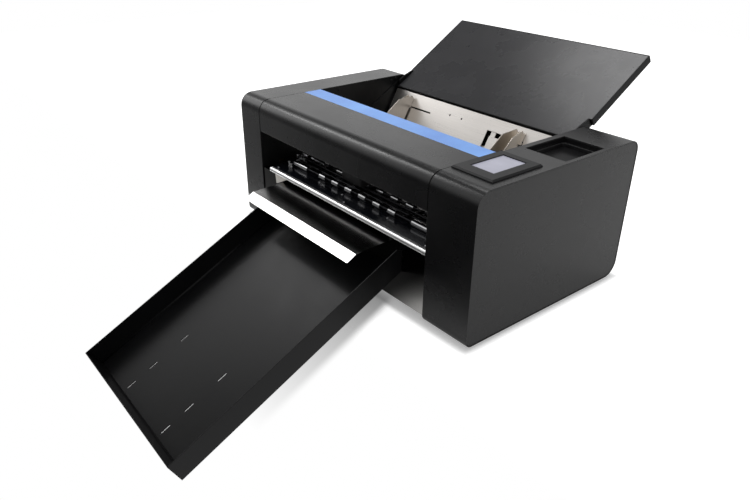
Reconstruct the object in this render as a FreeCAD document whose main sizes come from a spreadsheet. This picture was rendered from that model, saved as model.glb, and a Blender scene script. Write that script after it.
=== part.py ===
"""Desktop automatic card cutter: a sheet-fed machine with a cutting carriage.

Frame: X to the right, Y to the back, Z up, millimetres. The origin is the centre of the body's
footprint on the underside of the base pan. The output tray hooks on at the front and slopes down
past the edge of the bench, so its tip lies below the origin.

Every size is a cell of the sheet "dims". Distances "from the front" start at the body's front
plane, and pieces of the hopper, lid and tray are drawn flat in a local frame and then turned.
"""
import FreeCAD, Part
import math
import os
import re
import Sketcher
from FreeCAD import Placement, Rotation, Vector

# ---------------------------------------------------------------- driving dimensions
SIZES = [
    # casing
    ("body_width", 680, "overall width across both pods"),
    ("body_depth", 404, "front plane to rear plane"),
    ("body_height", 267, "base to flat top"),
    ("left_pod_width", 73, "left pod, outer face to bay wall"),
    ("right_pod_width", 102, "right pod, outer face to bay wall"),
    ("skin_thickness", 1.5, "steel covers"),
    ("frame_thickness", 2, "side frames and bent structure"),
    ("front_top_radius", 26, "cover bend, front top"),
    ("rear_top_radius", 21, "cover bend, rear top"),
    ("rear_bottom_radius", 29, "cover bend, rear bottom"),
    ("front_bottom_radius", 14, "cover bend, front bottom"),
    ("seat_gap", 0.3, "clearance of a piece in its seat"),
    ("seam_gap", 1, "visible seam between covers"),
    ("panel_recess", 0.6, "side panel below the rim of its cover"),
    ("foot_radius", 12, "rubber foot"),
    ("foot_height", 6, "rubber foot"),
    ("foot_inset_side", 78, "foot centre from the outer face, right pod"),
    ("foot_inset_left", 40, "foot centre from the outer face, left pod"),
    ("foot_inset_front", 28, "foot centre from the front plane"),
    ("foot_inset_rear", 45, "foot centre from the rear plane"),
    ("flange_width", 8, "inner flange of the pod covers"),
    ("flange_radius", 20, "corners inside that flange"),
    # front hood, trim strip and cross bar
    ("hood_length", 112, "hood, front plane to its rear edge"),
    ("mouth_height", 70, "platen to the hood's lower edge"),
    ("hood_lip", 16, "return lip under the hood"),
    ("lip_rise", 8, "upturn at the end of the lip"),
    ("strip_width", 40, "trim strip, front to back"),
    ("strip_thickness", 3, "trim strip"),
    ("bar_depth", 29, "depth of the cross bar's channel"),
    ("bar_shelf", 20, "shelf of the cross bar under the hood"),
    # screen and storage recess on the right pod
    ("bezel_width", 85, "screen bezel along X"),
    ("bezel_length", 115, "screen bezel along Y"),
    ("bezel_front", 45, "bezel from the front plane"),
    ("bezel_height", 4, "bezel above the top"),
    ("bezel_chamfer", 2.5, "outer bevel of the bezel"),
    ("screen_width", 49, "visible glass along X"),
    ("screen_length", 76.5, "visible glass along Y"),
    ("screen_overlap", 2.5, "glass held under the bezel, each side"),
    ("screen_depth", 2, "glass below the bezel's top"),
    ("module_depth", 9, "display module under the glass"),
    ("recess_width", 82, "storage recess along X"),
    ("recess_length", 104, "storage recess along Y"),
    ("recess_depth", 18, "storage recess"),
    ("recess_outer_gap", 8, "recess to the pod's outer face"),
    ("recess_rear", 93, "recess to the rear plane"),
    ("recess_rim", 3.5, "rim of the insert under the cover"),
    # platen, nose and exit deflector
    ("platen_drop", 133, "platen's top below the body's top"),
    ("platen_thickness", 3.2, "platen plate"),
    ("platen_rear", 109, "platen's rear edge from the front"),
    ("platen_left_gap", 29, "bay wall to the platen's left end"),
    ("nose_depth", 8, "nose bar, front to back"),
    ("nose_height", 8.6, "nose bar"),
    ("nose_radius", 3, "rounded front edges of the nose bar"),
    ("strip_groove", 8, "cutting strip, front to back"),
    ("strip_inlay", 0.9, "depth of the cutting strip"),
    ("support_width", 16, "channel under the platen"),
    ("support_height", 30, "channel under the platen"),
    ("deflector_width", 335, "exit deflector along X"),
    ("deflector_right", 145.6, "deflector's right edge"),
    ("deflector_fall", 18.4, "platen to the deflector at the front plane"),
    ("deflector_slope", 3, "fall of the deflector to the front, degrees"),
    ("deflector_reach", 68.5, "front plane to the deflector's bend"),
    ("deflector_lip", 21, "lip beyond the bend"),
    ("lip_slope", 28.5, "fall of the lip, degrees"),
    ("deflector_tail", 30, "deflector behind the front plane"),
    ("deflector_sheet", 1.2, "stainless sheet"),
    # rollers
    ("path_shift", 1.9, "sheet path's middle, left of the platen's middle"),
    ("roller_pitch", 42.4, "short rollers along X"),
    ("roller_length", 19, "short roller"),
    ("end_roller_length", 46.7, "long roller at each end"),
    ("end_roller_inset", 32.3, "long roller's middle to the pinch bracket"),
    ("front_row", 47, "front rollers from the front plane"),
    ("rear_row", 90, "rear rollers from the front plane"),
    ("grit_radius", 8, "grit roller"),
    ("grit_rise", 0.3, "grit roller above the platen"),
    ("shaft_radius", 4, "feed and pick-up shafts"),
    ("pinch_radius", 6.5, "pinch roller"),
    ("axle_radius", 2.5, "pinch roller axle"),
    ("running_gap", 0.06, "radial clearance of a running fit"),
    ("nip_gap", 0.3, "pinch roller to grit roller"),
    ("window_margin", 1, "platen window round a roller, along X"),
    ("window_width", 14.6, "platen window, front to back"),
    ("rocker_reach", 14, "pinch axle to the rocker bar"),
    ("rocker_radius", 2.5, "rocker bar"),
    ("arm_thickness", 3, "pinch arm along X"),
    ("arm_height", 6.4, "pinch arm"),
    ("bracket_inset", 22.5, "pinch bracket to the platen's end"),
    ("stand_width", 12, "pinch bracket, front to back"),
    ("stand_height", 18, "pinch bracket"),
    ("sole_length", 8, "foot of the pinch bracket"),
    ("bearing_radius", 9, "shaft bearing"),
    # feed drive in the right pod
    ("feed_pulley_radius", 12, "pulley on a feed shaft"),
    ("motor_pulley_radius", 6, "pulley on the feed motor"),
    ("feed_motor_drop", 56, "feed motor's axis below the platen"),
    ("pulley_width", 8, "feed pulleys"),
    ("belt_thickness", 1.4, "both belts"),
    ("belt_width", 6, "both belts"),
    ("motor_size", 42, "square of the stepper motors"),
    ("motor_length", 40, "stepper motors"),
    ("motor_shaft_radius", 2.5, "stepper motors"),
    ("motor_shaft_depth", 12, "bore for the shaft in each motor"),
    # cutting carriage
    ("cut_line", 68.5, "cutting line from the front plane"),
    ("beam_front", 112, "beam from the front plane"),
    ("beam_depth", 30, "beam"),
    ("beam_rise", 22, "beam above the platen"),
    ("beam_height", 40, "beam"),
    ("rail_depth", 8, "linear rail"),
    ("rail_height", 12, "linear rail"),
    ("carriage_centre", -37, "carriage at rest along X"),
    ("carriage_width", 60, "carriage along X"),
    ("cover_front", 60, "carriage cover from the front plane"),
    ("cover_rise", 14.5, "carriage cover above the platen"),
    ("cover_height", 52.5, "carriage cover"),
    ("cover_depth", 26, "carriage cover"),
    ("cover_radius", 4, "carriage cover's upright edges"),
    ("holder_radius", 7.9, "tool holder"),
    ("holder_nose_radius", 3.2, "tool holder's nose"),
    ("holder_rise", 54, "tool holder's top above the platen"),
    ("nose_rise", 4.6, "tool holder's nose above the platen"),
    ("blade_radius", 0.9, "cutting blade"),
    ("blade_rise", 3.2, "blade above the platen"),
    ("pulley_radius", 7.5, "carriage belt pulleys"),
    ("belt_rise", 7, "carriage belt above the beam"),
    ("belt_end_inset", 22, "carriage belt pulleys from the bay walls"),
    # hopper
    ("hopper_slope", 60.6, "hopper plate from level, degrees"),
    ("plate_inset", 39, "hopper plate's top edge from the rear plane"),
    ("plate_drop", 27.5, "hopper plate's top edge below the top"),
    ("plate_sheet", 1.2, "hopper plate and chute"),
    ("plate_side_gap", 7, "hopper plate to the bay walls"),
    ("chute_drop", 1.5, "chute below the platen's top"),
    ("chute_radius", 50, "bend of the chute"),
    ("chute_straight", 2, "straight end of the chute's bend"),
    ("slot_level", 31.5, "guide slots below the plate's top edge"),
    ("guide_slot_height", 3.4, "left guide slot"),
    ("guide_slot_left", -197.5, "left guide slot, outer end"),
    ("guide_travel", 63, "travel of each sheet guide"),
    ("guide_offset", 150.5, "guide stems from their middle"),
    ("guide_middle", -38, "middle of the two guides"),
    ("window_left", 37, "lift plate window, left edge"),
    ("window_right", 108, "lift plate window, right edge"),
    ("window_top", 27, "window below the plate's top edge"),
    ("window_bottom", 84, "window below the plate's top edge"),
    ("window_leg", 9, "width of the window's legs"),
    ("guide_reach", 58, "guide fin in front of the plate"),
    ("guide_sheet", 1.5, "guide fin"),
    ("guide_channel", 14.5, "width of the guide's channel"),
    ("guide_lift", 15.5, "guide's lower end above the plate's"),
    ("rack_module", 1.25, "rack and pinion"),
    ("pinion_teeth", 16, "guide pinion"),
    ("rack_width", 5, "rack and pinion, across the teeth"),
    ("rack_body", 6, "rack behind its teeth"),
    ("rack_back", 3, "plate to the racks"),
    ("hinge_wire", 1.5, "radius of the lift plate's hinge wire"),
    ("lift_gap", 10.25, "lift plate to each side of its window"),
    ("cheek_rise", 15, "hopper cheek above the plate's top edge"),
    ("cheek_reach", 71.4, "hopper cheek in front of the plate's top edge"),
    ("cheek_rear", 6, "hopper cheek behind the plate's top edge"),
    ("cheek_drop", 50, "hopper cheek below the plate's top edge"),
    ("cheek_slope_drop", 30.8, "cheek's front corner below the plate's top edge"),
    ("cheek_tab_width", 22, "tab that holds the hopper plate"),
    ("cheek_tab_height", 30, "tab that holds the hopper plate"),
    # pick-up roller
    ("pickup_radius", 15.2, "pick-up roller"),
    ("pickup_width", 30, "each pick-up roller"),
    ("pickup_space", 5, "between the pick-up rollers"),
    ("pickup_height", 39.4, "pick-up shaft above the platen"),
    ("pickup_gap", 2, "pick-up rollers to the hopper plate"),
    ("gear_module", 1, "pick-up gears"),
    ("gear_teeth", 40, "gear on the pick-up shaft"),
    ("drive_teeth", 16, "gear on the pick-up motor"),
    ("gear_width", 7, "pick-up gears"),
    # lid
    ("hinge_inset", 26, "lid hinge from the rear plane"),
    ("hinge_drop", 13.9, "lid hinge below the top"),
    ("hinge_pin_radius", 4, "lid hinge pin"),
    ("lid_open_angle", 148.3, "lid, closed to fully open, degrees"),
    ("lid_thickness", 15, "lid"),
    ("lid_side_gap", 2.5, "lid to the bay walls"),
    ("lid_tail", 17, "lid behind its hinge"),
    ("lid_relief", 4, "sides set in at the hinge end"),
    ("lid_relief_length", 40, "set-in sides, in front of the hinge"),
    ("lid_inner_sheet", 1.2, "inner panel"),
    ("hinge_arm_length", 37, "hinge arm in front of the pin"),
    ("hinge_arm_height", 20, "hinge arm"),
    ("hinge_arm_width", 4, "hinge arm along X"),
    # output tray
    ("tray_width", 354.4, "outer width"),
    ("tray_centre", 2.8, "middle of the tray along X"),
    ("tray_length", 473, "along the floor"),
    ("tray_wall", 43, "wall height above the floor, at the rear"),
    ("tray_tip_wall", 40, "wall height above the floor, at the tip"),
    ("tray_slope", 26.5, "fall of the tray, degrees"),
    ("tray_sheet", 1.5, "tray sheet"),
    ("tray_fall", 62.4, "platen to the tray's floor at the front plane"),
    ("tray_pivot_drop", 28, "hook pin below the platen"),
    ("tray_pivot_back", 6, "hook pin behind the front plane"),
    ("tray_stop", 1.7, "tray's rear edge behind the front plane"),
    ("tray_corner", 6, "cut corner at the wall's rear end"),
    ("tray_low_wall", 35, "left wall where it lies under the deflector"),
    ("tray_low_length", 14, "length of that low part"),
    ("eye_radius", 5, "hook of the tray round its pin"),
    ("hook_pin_radius", 2.5, "pin that carries the tray"),
    ("tray_slot_length", 17.7, "slots in the tray's floor"),
    ("tray_slot_width", 2.2, "slots in the tray's floor"),
    ("tray_slot_offset", 71.5, "slots from the tray's middle"),
    # lower front panel, rear panel and base
    ("panel_back", 2, "lower front panel behind the front plane"),
    ("panel_sheet", 1.2, "lower front panel"),
    ("panel_bottom", 11.5, "lower front panel above the base"),
    ("panel_drop", 9.1, "lower front panel's top below the platen"),
    ("notch_margin", 3.1, "deflector to the bottom of its notch in the panel"),
    ("panel_flange", 24, "flange at the panel's top"),
    ("hook_slot_width", 3.5, "tray hook slots in the panel"),
    ("hook_slot_length", 34, "tray hook slots below the hook pin"),
    ("pan_flange", 30, "height of the base pan"),
    ("pan_step", 38, "raised front of the base pan, front to back"),
    ("vent_count", 9, "slots of the rear grille"),
    ("vent_pitch", 12, "rear grille"),
    ("vent_width", 4, "rear grille"),
    ("vent_height", 50, "rear grille"),
    ("inlet_width", 27.4, "power inlet cut-out"),
    ("inlet_height", 20, "power inlet cut-out"),
    ("inlet_inset", 117, "bay wall to the power inlet's middle"),
    ("inlet_level", 60, "power inlet above the base"),
    ("switch_inset", 75, "bay wall to the power switch's middle"),
    ("rocker_tilt", 8, "rocker, each way, degrees"),
    ("supply_length", 160, "power supply along X"),
    ("supply_width", 98, "power supply along Y"),
    ("supply_height", 38, "power supply"),
    ("board_length", 180, "main board along X"),
    ("board_width", 110, "main board along Y"),
    ("board_thickness", 1.6, "main board"),
    ("standoff_height", 8, "under the main board"),
    ("electronics_back", 200, "supply and board from the front plane"),
    ("supply_inset", 27, "supply to the left bay wall"),
    ("board_inset", 40, "board to the right bay wall"),
]

# Heights above the base, and places across the machine, that follow from those sizes.
LEVELS = [
    ("platen_height", "body_height - platen_drop"),
    ("hood_bottom", "platen_height + mouth_height"),
    ("deflector_height", "platen_height - deflector_fall"),
    ("feed_motor_height", "platen_height - feed_motor_drop"),
    ("beam_bottom", "platen_height + beam_rise"),
    ("carriage_belt_level", "beam_bottom + beam_height + belt_rise"),
    ("cover_bottom", "platen_height + cover_rise"),
    ("cover_top", "cover_bottom + cover_height"),
    ("holder_top", "platen_height + holder_rise"),
    ("nose_tip", "platen_height + nose_rise"),
    ("blade_tip", "platen_height + blade_rise"),
    ("tray_floor_height", "platen_height - tray_fall"),
    ("tray_pivot_height", "platen_height - tray_pivot_drop"),
    ("panel_top", "platen_height - panel_drop"),
    ("notch_bottom", "deflector_height - notch_margin"),
    ("hook_slot_bottom", "tray_pivot_height - hook_slot_length"),
    ("bay_width", "body_width - left_pod_width - right_pod_width"),
    ("roller_centre",
     "(left_pod_width - right_pod_width + platen_left_gap - seam_gap)/2 - path_shift"),
    ("bracket_offset", "(bay_width - platen_left_gap - seam_gap)/2 - bracket_inset"),
    ("end_roller_offset", "bracket_offset - end_roller_inset"),
    ("inlet_left", "body_width/2 - left_pod_width - inlet_inset"),
    ("switch_left", "body_width/2 - left_pod_width - switch_inset"),
]

doc = FreeCAD.newDocument("CardCutter")
dims = doc.addObject("Spreadsheet::Sheet", "dims")
for row, (alias, value, note) in enumerate(SIZES, start=1):
    dims.set(f"A{row}", note)
    dims.set(f"B{row}", str(value))
    dims.setAlias(f"B{row}", alias)
for row, (alias, text) in enumerate(LEVELS, start=len(SIZES) + 1):
    dims.set(f"A{row}", text)
    dims.set(f"B{row}", "=" + text)
    dims.setAlias(f"B{row}", alias)
doc.recompute()

PARTS = {}
AXES = {"x": Vector(1, 0, 0), "-x": Vector(-1, 0, 0), "y": Vector(0, 1, 0)}
PLANES = {"xy": "XY_Plane", "xz": "XZ_Plane", "yz": "YZ_Plane"}

# ---------------------------------------------------------------- places used by many pieces
REAR = "(body_depth/2)"
LEFT = "(-body_width/2 + left_pod_width)"
RIGHT = "(body_width/2 - right_pod_width)"
BAY = "bay_width"
PLATE_Y, PLATE_Z = f"({REAR} - plate_inset)", "(body_height - plate_drop)"


def back(distance):
    """Y of a place at a distance behind the front plane."""
    return f"(-body_depth/2 + {distance})"


# ---------------------------------------------------------------- helpers
def size(alias):
    """A driving dimension as a number."""
    return float(getattr(dims, alias))


def formula(text):
    """A formula in the names of the sheet's cells, as the document writes it."""
    return re.sub(r"[a-z]+(?:_[a-z0-9]+)+", lambda word: "dims." + word.group(0), str(text))


def bind(obj, prop, text):
    obj.setExpression(prop, formula(text))


def place(obj, at=(0, 0, 0), turn=None):
    """Bind an object's place, and its turn about one axis, to formulas."""
    if turn:
        axis, angle = turn
        obj.Placement = Placement(Vector(), Rotation(AXES[axis], 1))
        bind(obj, "Placement.Rotation.Angle", angle)
    for letter, text in zip("xyz", at):
        bind(obj, "Placement.Base." + letter, text)
    return obj


def box(name, corner, lengths):
    """A box from its lowest corner and its lengths along X, Y and Z."""
    obj = doc.addObject("Part::Box", name)
    for prop, text in zip(("Length", "Width", "Height"), lengths):
        bind(obj, prop, text)
    return place(obj, corner)


def rod(name, axis, radius, length, start):
    """A round rod along an axis, from the middle of its lower end."""
    obj = doc.addObject("Part::Cylinder", name)
    bind(obj, "Radius", radius)
    bind(obj, "Height", length)
    turns = {"x": ("y", 90), "y": ("-x", 90), "z": None}
    return place(obj, start, turns[axis])


def prism(name, plane, outline, depth, start=0, rounds=()):
    """A padded outline. rounds lists (corner numbers, radius) for its upright edges."""
    body = doc.addObject("PartDesign::Body", name)
    sketch = body.newObject("Sketcher::SketchObject", name + "_outline")
    support = next(f for f in body.Origin.OriginFeatures if f.Role == PLANES[plane])
    sketch.AttachmentSupport = [(support, "")]
    sketch.MapMode = "FlatFace"
    count = len(outline)
    ring = [Vector(math.cos(2 * math.pi * k / count), math.sin(2 * math.pi * k / count), 0)
            for k in range(count)]
    for k in range(count):
        sketch.addGeometry(Part.LineSegment(ring[k], ring[(k + 1) % count]), False)
    for k in range(count):
        sketch.addConstraint(Sketcher.Constraint("Coincident", k, 2, (k + 1) % count, 1))
    for k, corner in enumerate(outline):
        for kind, text in zip(("DistanceX", "DistanceY"), corner):
            number = sketch.addConstraint(Sketcher.Constraint(kind, -1, 1, k, 1, 1.0))
            bind(sketch, f"Constraints[{number}]", text)
    pad = body.newObject("PartDesign::Pad", name + "_pad")
    pad.Profile = sketch
    pad.Reversed = plane == "xz"
    bind(pad, "Length", depth)
    body.Tip = pad
    doc.recompute()
    corners = [sketch.Geometry[k].StartPoint for k in range(count)]
    tip = pad
    for number, (picked, radius) in enumerate(rounds, start=1):
        fillet = body.newObject("PartDesign::Fillet", f"{name}_round{number}")
        fillet.Base = (tip, upright_edges(tip.Shape, plane, [corners[k] for k in picked]))
        bind(fillet, "Radius", radius)
        body.Tip = fillet
        doc.recompute()
        tip = fillet
    offset = {"xy": (0, 0, start), "xz": (0, start, 0), "yz": (start, 0, 0)}[plane]
    return place(body, offset)


def upright_edges(shape, plane, corners):
    """Names of the edges that run along a pad's depth through sketch corners."""
    names = []
    for number, edge in enumerate(shape.Edges, start=1):
        ends = [flat_point(v.Point, plane) for v in edge.Vertexes]
        if len(ends) == 2 and (ends[0] - ends[1]).Length < 1e-4:
            if any((ends[0] - corner).Length < 1e-4 for corner in corners):
                names.append(f"Edge{number}")
    return names


def flat_point(point, plane):
    """A point of the solid in its sketch's own two axes."""
    pairs = {"xy": (point.x, point.y), "xz": (point.x, point.z), "yz": (point.y, point.z)}
    return Vector(*pairs[plane], 0)


def cut(name, base, *tools):
    """A base less one or more tools."""
    obj = doc.addObject("Part::Cut", name)
    obj.Base = base
    obj.Tool = tools[0] if len(tools) == 1 else fuse(name + "_tools", *tools)
    return obj


def fuse(name, *pieces):
    obj = doc.addObject("Part::MultiFuse", name)
    obj.Shapes = list(pieces)
    return obj


def group(name, *pieces):
    """Several like pieces in one node, each its own solid."""
    obj = doc.addObject("Part::Compound", name)
    obj.Links = list(pieces)
    return obj


def feature(name, shape):
    """A solid that neither a sketch nor a primitive makes."""
    obj = doc.addObject("Part::Feature", name)
    obj.Shape = shape
    return obj


def part(name, obj):
    """Record a finished sub-part under the name of its node."""
    obj.Label = name
    PARTS[name] = obj
    return obj


def pod_outline(inset, slack=0):
    """Side outline of the body, set in by a distance, with its bends eased by a slack."""
    low, high = f"{inset}", f"(body_height - {inset})"
    front, rear = back(inset), f"({REAR} - {inset})"
    outline = [(front, low), (rear, low), (rear, high), (front, high)]
    radii = ("front_bottom_radius", "rear_bottom_radius", "rear_top_radius", "front_top_radius")
    return outline, [((k,), f"{radius} - {inset} + {slack}") for k, radius in enumerate(radii)]


def ring_belt(circles, thickness, width):
    """A flat belt along X round circles given as (y, z, radius), in the order of its run."""
    spans = []
    for k, (y1, z1, r1) in enumerate(circles):
        y2, z2, r2 = circles[(k + 1) % len(circles)]
        run = math.hypot(y2 - y1, z2 - z1)
        turn = math.atan2(z2 - z1, y2 - y1) - math.acos((r1 - r2) / run)
        spans.append(Vector(0, math.cos(turn), math.sin(turn)))

    def loop(extra):
        edges = []
        for k, out in enumerate(spans):
            y1, z1, r1 = circles[k]
            y2, z2, r2 = circles[(k + 1) % len(circles)]
            following = spans[(k + 1) % len(circles)]
            centre = Vector(0, y2, z2)
            end = centre + out * (r2 + extra)
            edges.append(Part.makeLine(Vector(0, y1, z1) + out * (r1 + extra), end))
            middle = centre + (out + following).normalize() * (r2 + extra)
            edges.append(Part.Arc(end, middle, centre + following * (r2 + extra)).toShape())
        return Part.Face(Part.Wire(edges))
    return loop(thickness).cut(loop(0)).Faces[0].extrude(Vector(width, 0, 0))


def gear_outline(teeth, module, backlash):
    """Corners of a spur gear with involute flanks, a tooth pointing along its first axis."""
    pitch = teeth * module / 2
    base = pitch * math.cos(math.radians(20))
    tip, root = pitch + module, pitch - 1.25 * module
    involute = math.tan(math.radians(20)) - math.radians(20)
    half = math.pi / (2 * teeth) - backlash / (2 * pitch)
    flank = []
    for step in range(4):
        radius = max(base, root) + (tip - max(base, root)) * step / 3
        roll = math.sqrt(max((radius / base) ** 2 - 1, 0))
        flank.append((radius, half + involute - (roll - math.atan(roll))))
    flank.insert(0, (root, flank[0][1]))
    corners = []
    for tooth in range(teeth):
        middle = 2 * math.pi * tooth / teeth
        sides = [(r, -a) for r, a in flank] + [(r, a) for r, a in reversed(flank)]
        corners += [(r * math.cos(middle + a), r * math.sin(middle + a)) for r, a in sides]
    return corners


def spur_gear(name, axis, teeth, module, backlash, bore, width):
    """A spur gear along an axis, from its middle, with its first tooth upwards."""
    along = AXES[axis]
    side = Vector(0, -1, 0) if axis == "x" else Vector(1, 0, 0)
    up = Vector(0, 0, 1)
    corners = [up * u + side * v for u, v in gear_outline(teeth, module, backlash)]
    face = Part.Face(Part.makePolygon(corners + corners[:1]))
    hole = Part.Face(Part.Wire(Part.makeCircle(bore, Vector(), along)))
    return feature(name, face.cut(hole).Faces[0].extrude(along * width))


def rack(name, first, last, module, body, backlash, width):
    """A toothed rack along X, teeth down, its pitch line at z 0 and a gap at x 0."""
    pitch = math.pi * module
    slope = math.tan(math.radians(20))
    tip, root = -0.9 * module, 1.25 * module
    half = pitch / 4 - backlash / 2
    corners = [(first, root)]
    number = math.ceil((first + half + root * slope) / pitch - 0.5)
    while (number + 0.5) * pitch + half + root * slope < last:
        middle = (number + 0.5) * pitch
        for height, side in ((root, -1), (tip, -1), (tip, 1), (root, 1)):
            corners.append((middle + side * (half + height * slope), height))
        number += 1
    corners += [(last, root), (last, root + body), (first, root + body)]
    points = [Vector(u, 0, w) for u, w in corners]
    face = Part.Face(Part.makePolygon(points + points[:1]))
    return feature(name, face.extrude(Vector(0, width, 0)))


# ---------------------------------------------------------------- pods
def pod_cover(side, start, width):
    """Wrapped cover of one pod, open to the bay, with a flange behind its side panel."""
    whole, bends = pod_outline("0")
    inner, inner_bends = pod_outline("skin_thickness")
    hole, _ = pod_outline("(skin_thickness + flange_width)")
    step = "(panel_recess + frame_thickness)"
    flange = f"({start} + {step})" if side == "left" else \
        f"({start} + {width} - {step} - skin_thickness)"
    ring = prism(f"{side}_cover_outer", "yz", whole, width, start, bends)
    hollow = prism(f"{side}_cover_inner", "yz", inner, width, start, inner_bends)
    plate = prism(f"{side}_flange_outer", "yz", inner, "skin_thickness", flange, inner_bends)
    opening = prism(f"{side}_flange_hole", "yz", hole, "skin_thickness", flange,
                    [((0, 1, 2, 3), "flange_radius")])
    return fuse(f"{side}_cover", cut(f"{side}_cover_ring", ring, hollow),
                cut(f"{side}_flange", plate, opening))


LEFT_END, RIGHT_END = "(-body_width/2)", "(body_width/2)"
part("left_pod_wrap", pod_cover("left", LEFT_END, "left_pod_width"))

BEZEL_LEFT = f"({RIGHT} + seam_gap)"
SCREEN_LEFT = f"({BEZEL_LEFT} + (bezel_width - screen_width)/2 - seam_gap)"
SCREEN_FRONT = back("bezel_front + bezel_length - screen_length - 15")
RECESS_LEFT = f"({RIGHT_END} - recess_outer_gap - recess_width)"
RECESS_FRONT = f"({REAR} - recess_rear - recess_length)"
screen_hole = box("screen_hole",
                  (f"{SCREEN_LEFT} - screen_overlap - seat_gap",
                   f"{SCREEN_FRONT} - screen_overlap - seat_gap",
                   "body_height - 2*skin_thickness"),
                  ("screen_width + 2*screen_overlap + 2*seat_gap",
                   "screen_length + 2*screen_overlap + 2*seat_gap", "4*skin_thickness"))
recess_hole = box("recess_hole",
                  (RECESS_LEFT, RECESS_FRONT, "body_height - 2*skin_thickness"),
                  ("recess_width", "recess_length", "4*skin_thickness"))
right_cover = pod_cover("right", RIGHT, "right_pod_width")
part("right_pod_wrap", cut("right_cover_cut", right_cover, screen_hole, recess_hole))

panels = []
for side, start in (("left", f"{LEFT_END} + panel_recess"),
                    ("right", f"{RIGHT_END} - panel_recess - frame_thickness")):
    outline, bends = pod_outline("(skin_thickness + 0.5*seam_gap)")
    panels.append(prism(f"{side}_end_panel", "yz", outline, "frame_thickness", start, bends))
part("side_panels", group("end_panels", *panels))

tray_top = "(body_height - skin_thickness)"
rim = box("recess_rim_plate",
          (f"{RECESS_LEFT} - recess_rim", f"{RECESS_FRONT} - recess_rim",
           f"{tray_top} - skin_thickness"),
          ("recess_width + 2*recess_rim", "recess_length + 2*recess_rim", "skin_thickness"))
tub = box("recess_tub",
          (f"{RECESS_LEFT} - skin_thickness", f"{RECESS_FRONT} - skin_thickness",
           "body_height - recess_depth - skin_thickness"),
          ("recess_width + 2*skin_thickness", "recess_length + 2*skin_thickness", "recess_depth"))
well = box("recess_well", (RECESS_LEFT, RECESS_FRONT, "body_height - recess_depth"),
           ("recess_width", "recess_length", "recess_depth + skin_thickness"))
part("storage_tray", cut("storage_insert", fuse("storage_outer", rim, tub), well))

bezel_block = prism(
    "bezel_block", "xy",
    [(BEZEL_LEFT, back("bezel_front")), (f"{BEZEL_LEFT} + bezel_width", back("bezel_front")),
     (f"{BEZEL_LEFT} + bezel_width", back("bezel_front + bezel_length")),
     (BEZEL_LEFT, back("bezel_front + bezel_length"))], "bezel_height", "body_height")
bezel_pad = bezel_block.Tip
bezel_top = max(corner.Point.z for corner in bezel_pad.Shape.Vertexes)
rim_edges = [f"Edge{k}" for k, edge in enumerate(bezel_pad.Shape.Edges, start=1)
             if all(corner.Point.z > bezel_top - 1e-4 for corner in edge.Vertexes)]
bevel = bezel_block.newObject("PartDesign::Chamfer", "bezel_bevel")
bevel.Base = (bezel_pad, rim_edges)
bind(bevel, "Size", "bezel_chamfer")
bezel_block.Tip = bevel
glass_room = box("glass_room",
                 (f"{SCREEN_LEFT} - screen_overlap - seat_gap",
                  f"{SCREEN_FRONT} - screen_overlap - seat_gap", "body_height - 1"),
                 ("screen_width + 2*screen_overlap + 2*seat_gap",
                  "screen_length + 2*screen_overlap + 2*seat_gap",
                  "bezel_height - screen_depth + 1"))
glass_view = box("glass_view", (SCREEN_LEFT, SCREEN_FRONT, "body_height"),
                 ("screen_width", "screen_length", "2*bezel_height"))
part("screen_bezel", cut("bezel_frame", bezel_block, glass_room, glass_view))
glass = box("display_glass",
            (f"{SCREEN_LEFT} - screen_overlap", f"{SCREEN_FRONT} - screen_overlap",
             "body_height - skin_thickness - 1"),
            ("screen_width + 2*screen_overlap", "screen_length + 2*screen_overlap",
             "bezel_height - screen_depth + skin_thickness + 1"))
module = box("display_back",
             (f"{SCREEN_LEFT} - 2*screen_overlap", f"{SCREEN_FRONT} - 2*screen_overlap",
              "body_height - skin_thickness - module_depth"),
             ("screen_width + 4*screen_overlap", "screen_length + 4*screen_overlap",
              "module_depth"))
part("touch_screen", fuse("display", glass, module))

# ---------------------------------------------------------------- side frames with hinge pins
SHAFT_LEVEL = "(platen_height + grit_rise - grit_radius)"
PICKUP_LEVEL = "(platen_height + pickup_height)"
PICKUP_Y = (f"({PLATE_Y} - ({PLATE_Z} - {PICKUP_LEVEL})/tan(hopper_slope)"
            " - (pickup_radius + pickup_gap)/sin(hopper_slope))")
HINGE_Y, HINGE_Z = f"({REAR} - hinge_inset)", "(body_height - hinge_drop)"
BUSH = "(bearing_radius - 2)"
SHAFTS = ((back("front_row"), SHAFT_LEVEL), (back("rear_row"), SHAFT_LEVEL),
          (PICKUP_Y, PICKUP_LEVEL))


def side_frame(side, inner_face, outwards):
    """Upright frame plate beside the bay; outwards is -1 on the left and 1 on the right."""
    start = inner_face if outwards > 0 else f"({inner_face} - frame_thickness)"
    outline, bends = pod_outline("skin_thickness", "1")
    plate = prism(f"{side}_frame_plate", "yz", outline, "frame_thickness", start, bends)
    holes = [rod(f"{side}_bush_hole_{k}", "x", f"{BUSH} + seat_gap", "3*frame_thickness",
                 (f"{start} - frame_thickness", y, z)) for k, (y, z) in enumerate(SHAFTS)]
    if outwards > 0:
        holes.append(rod("motor_pulley_hole", "x", "feed_pulley_radius", "3*frame_thickness",
                         (f"{start} - frame_thickness", back("cut_line"), "feed_motor_height")))
    pin_start = f"({inner_face} - frame_thickness)" if outwards < 0 else \
        f"({inner_face} - lid_side_gap - 2*hinge_arm_width)"
    pin = rod(f"{side}_hinge_pin", "x", "hinge_pin_radius",
              "frame_thickness + lid_side_gap + 2*hinge_arm_width", (pin_start, HINGE_Y, HINGE_Z))
    return fuse(f"{side}_frame", cut(f"{side}_frame_holes", plate, *holes), pin)


part("left_side_frame", side_frame("left", LEFT, -1))
part("right_side_frame", side_frame("right", RIGHT, 1))

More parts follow.
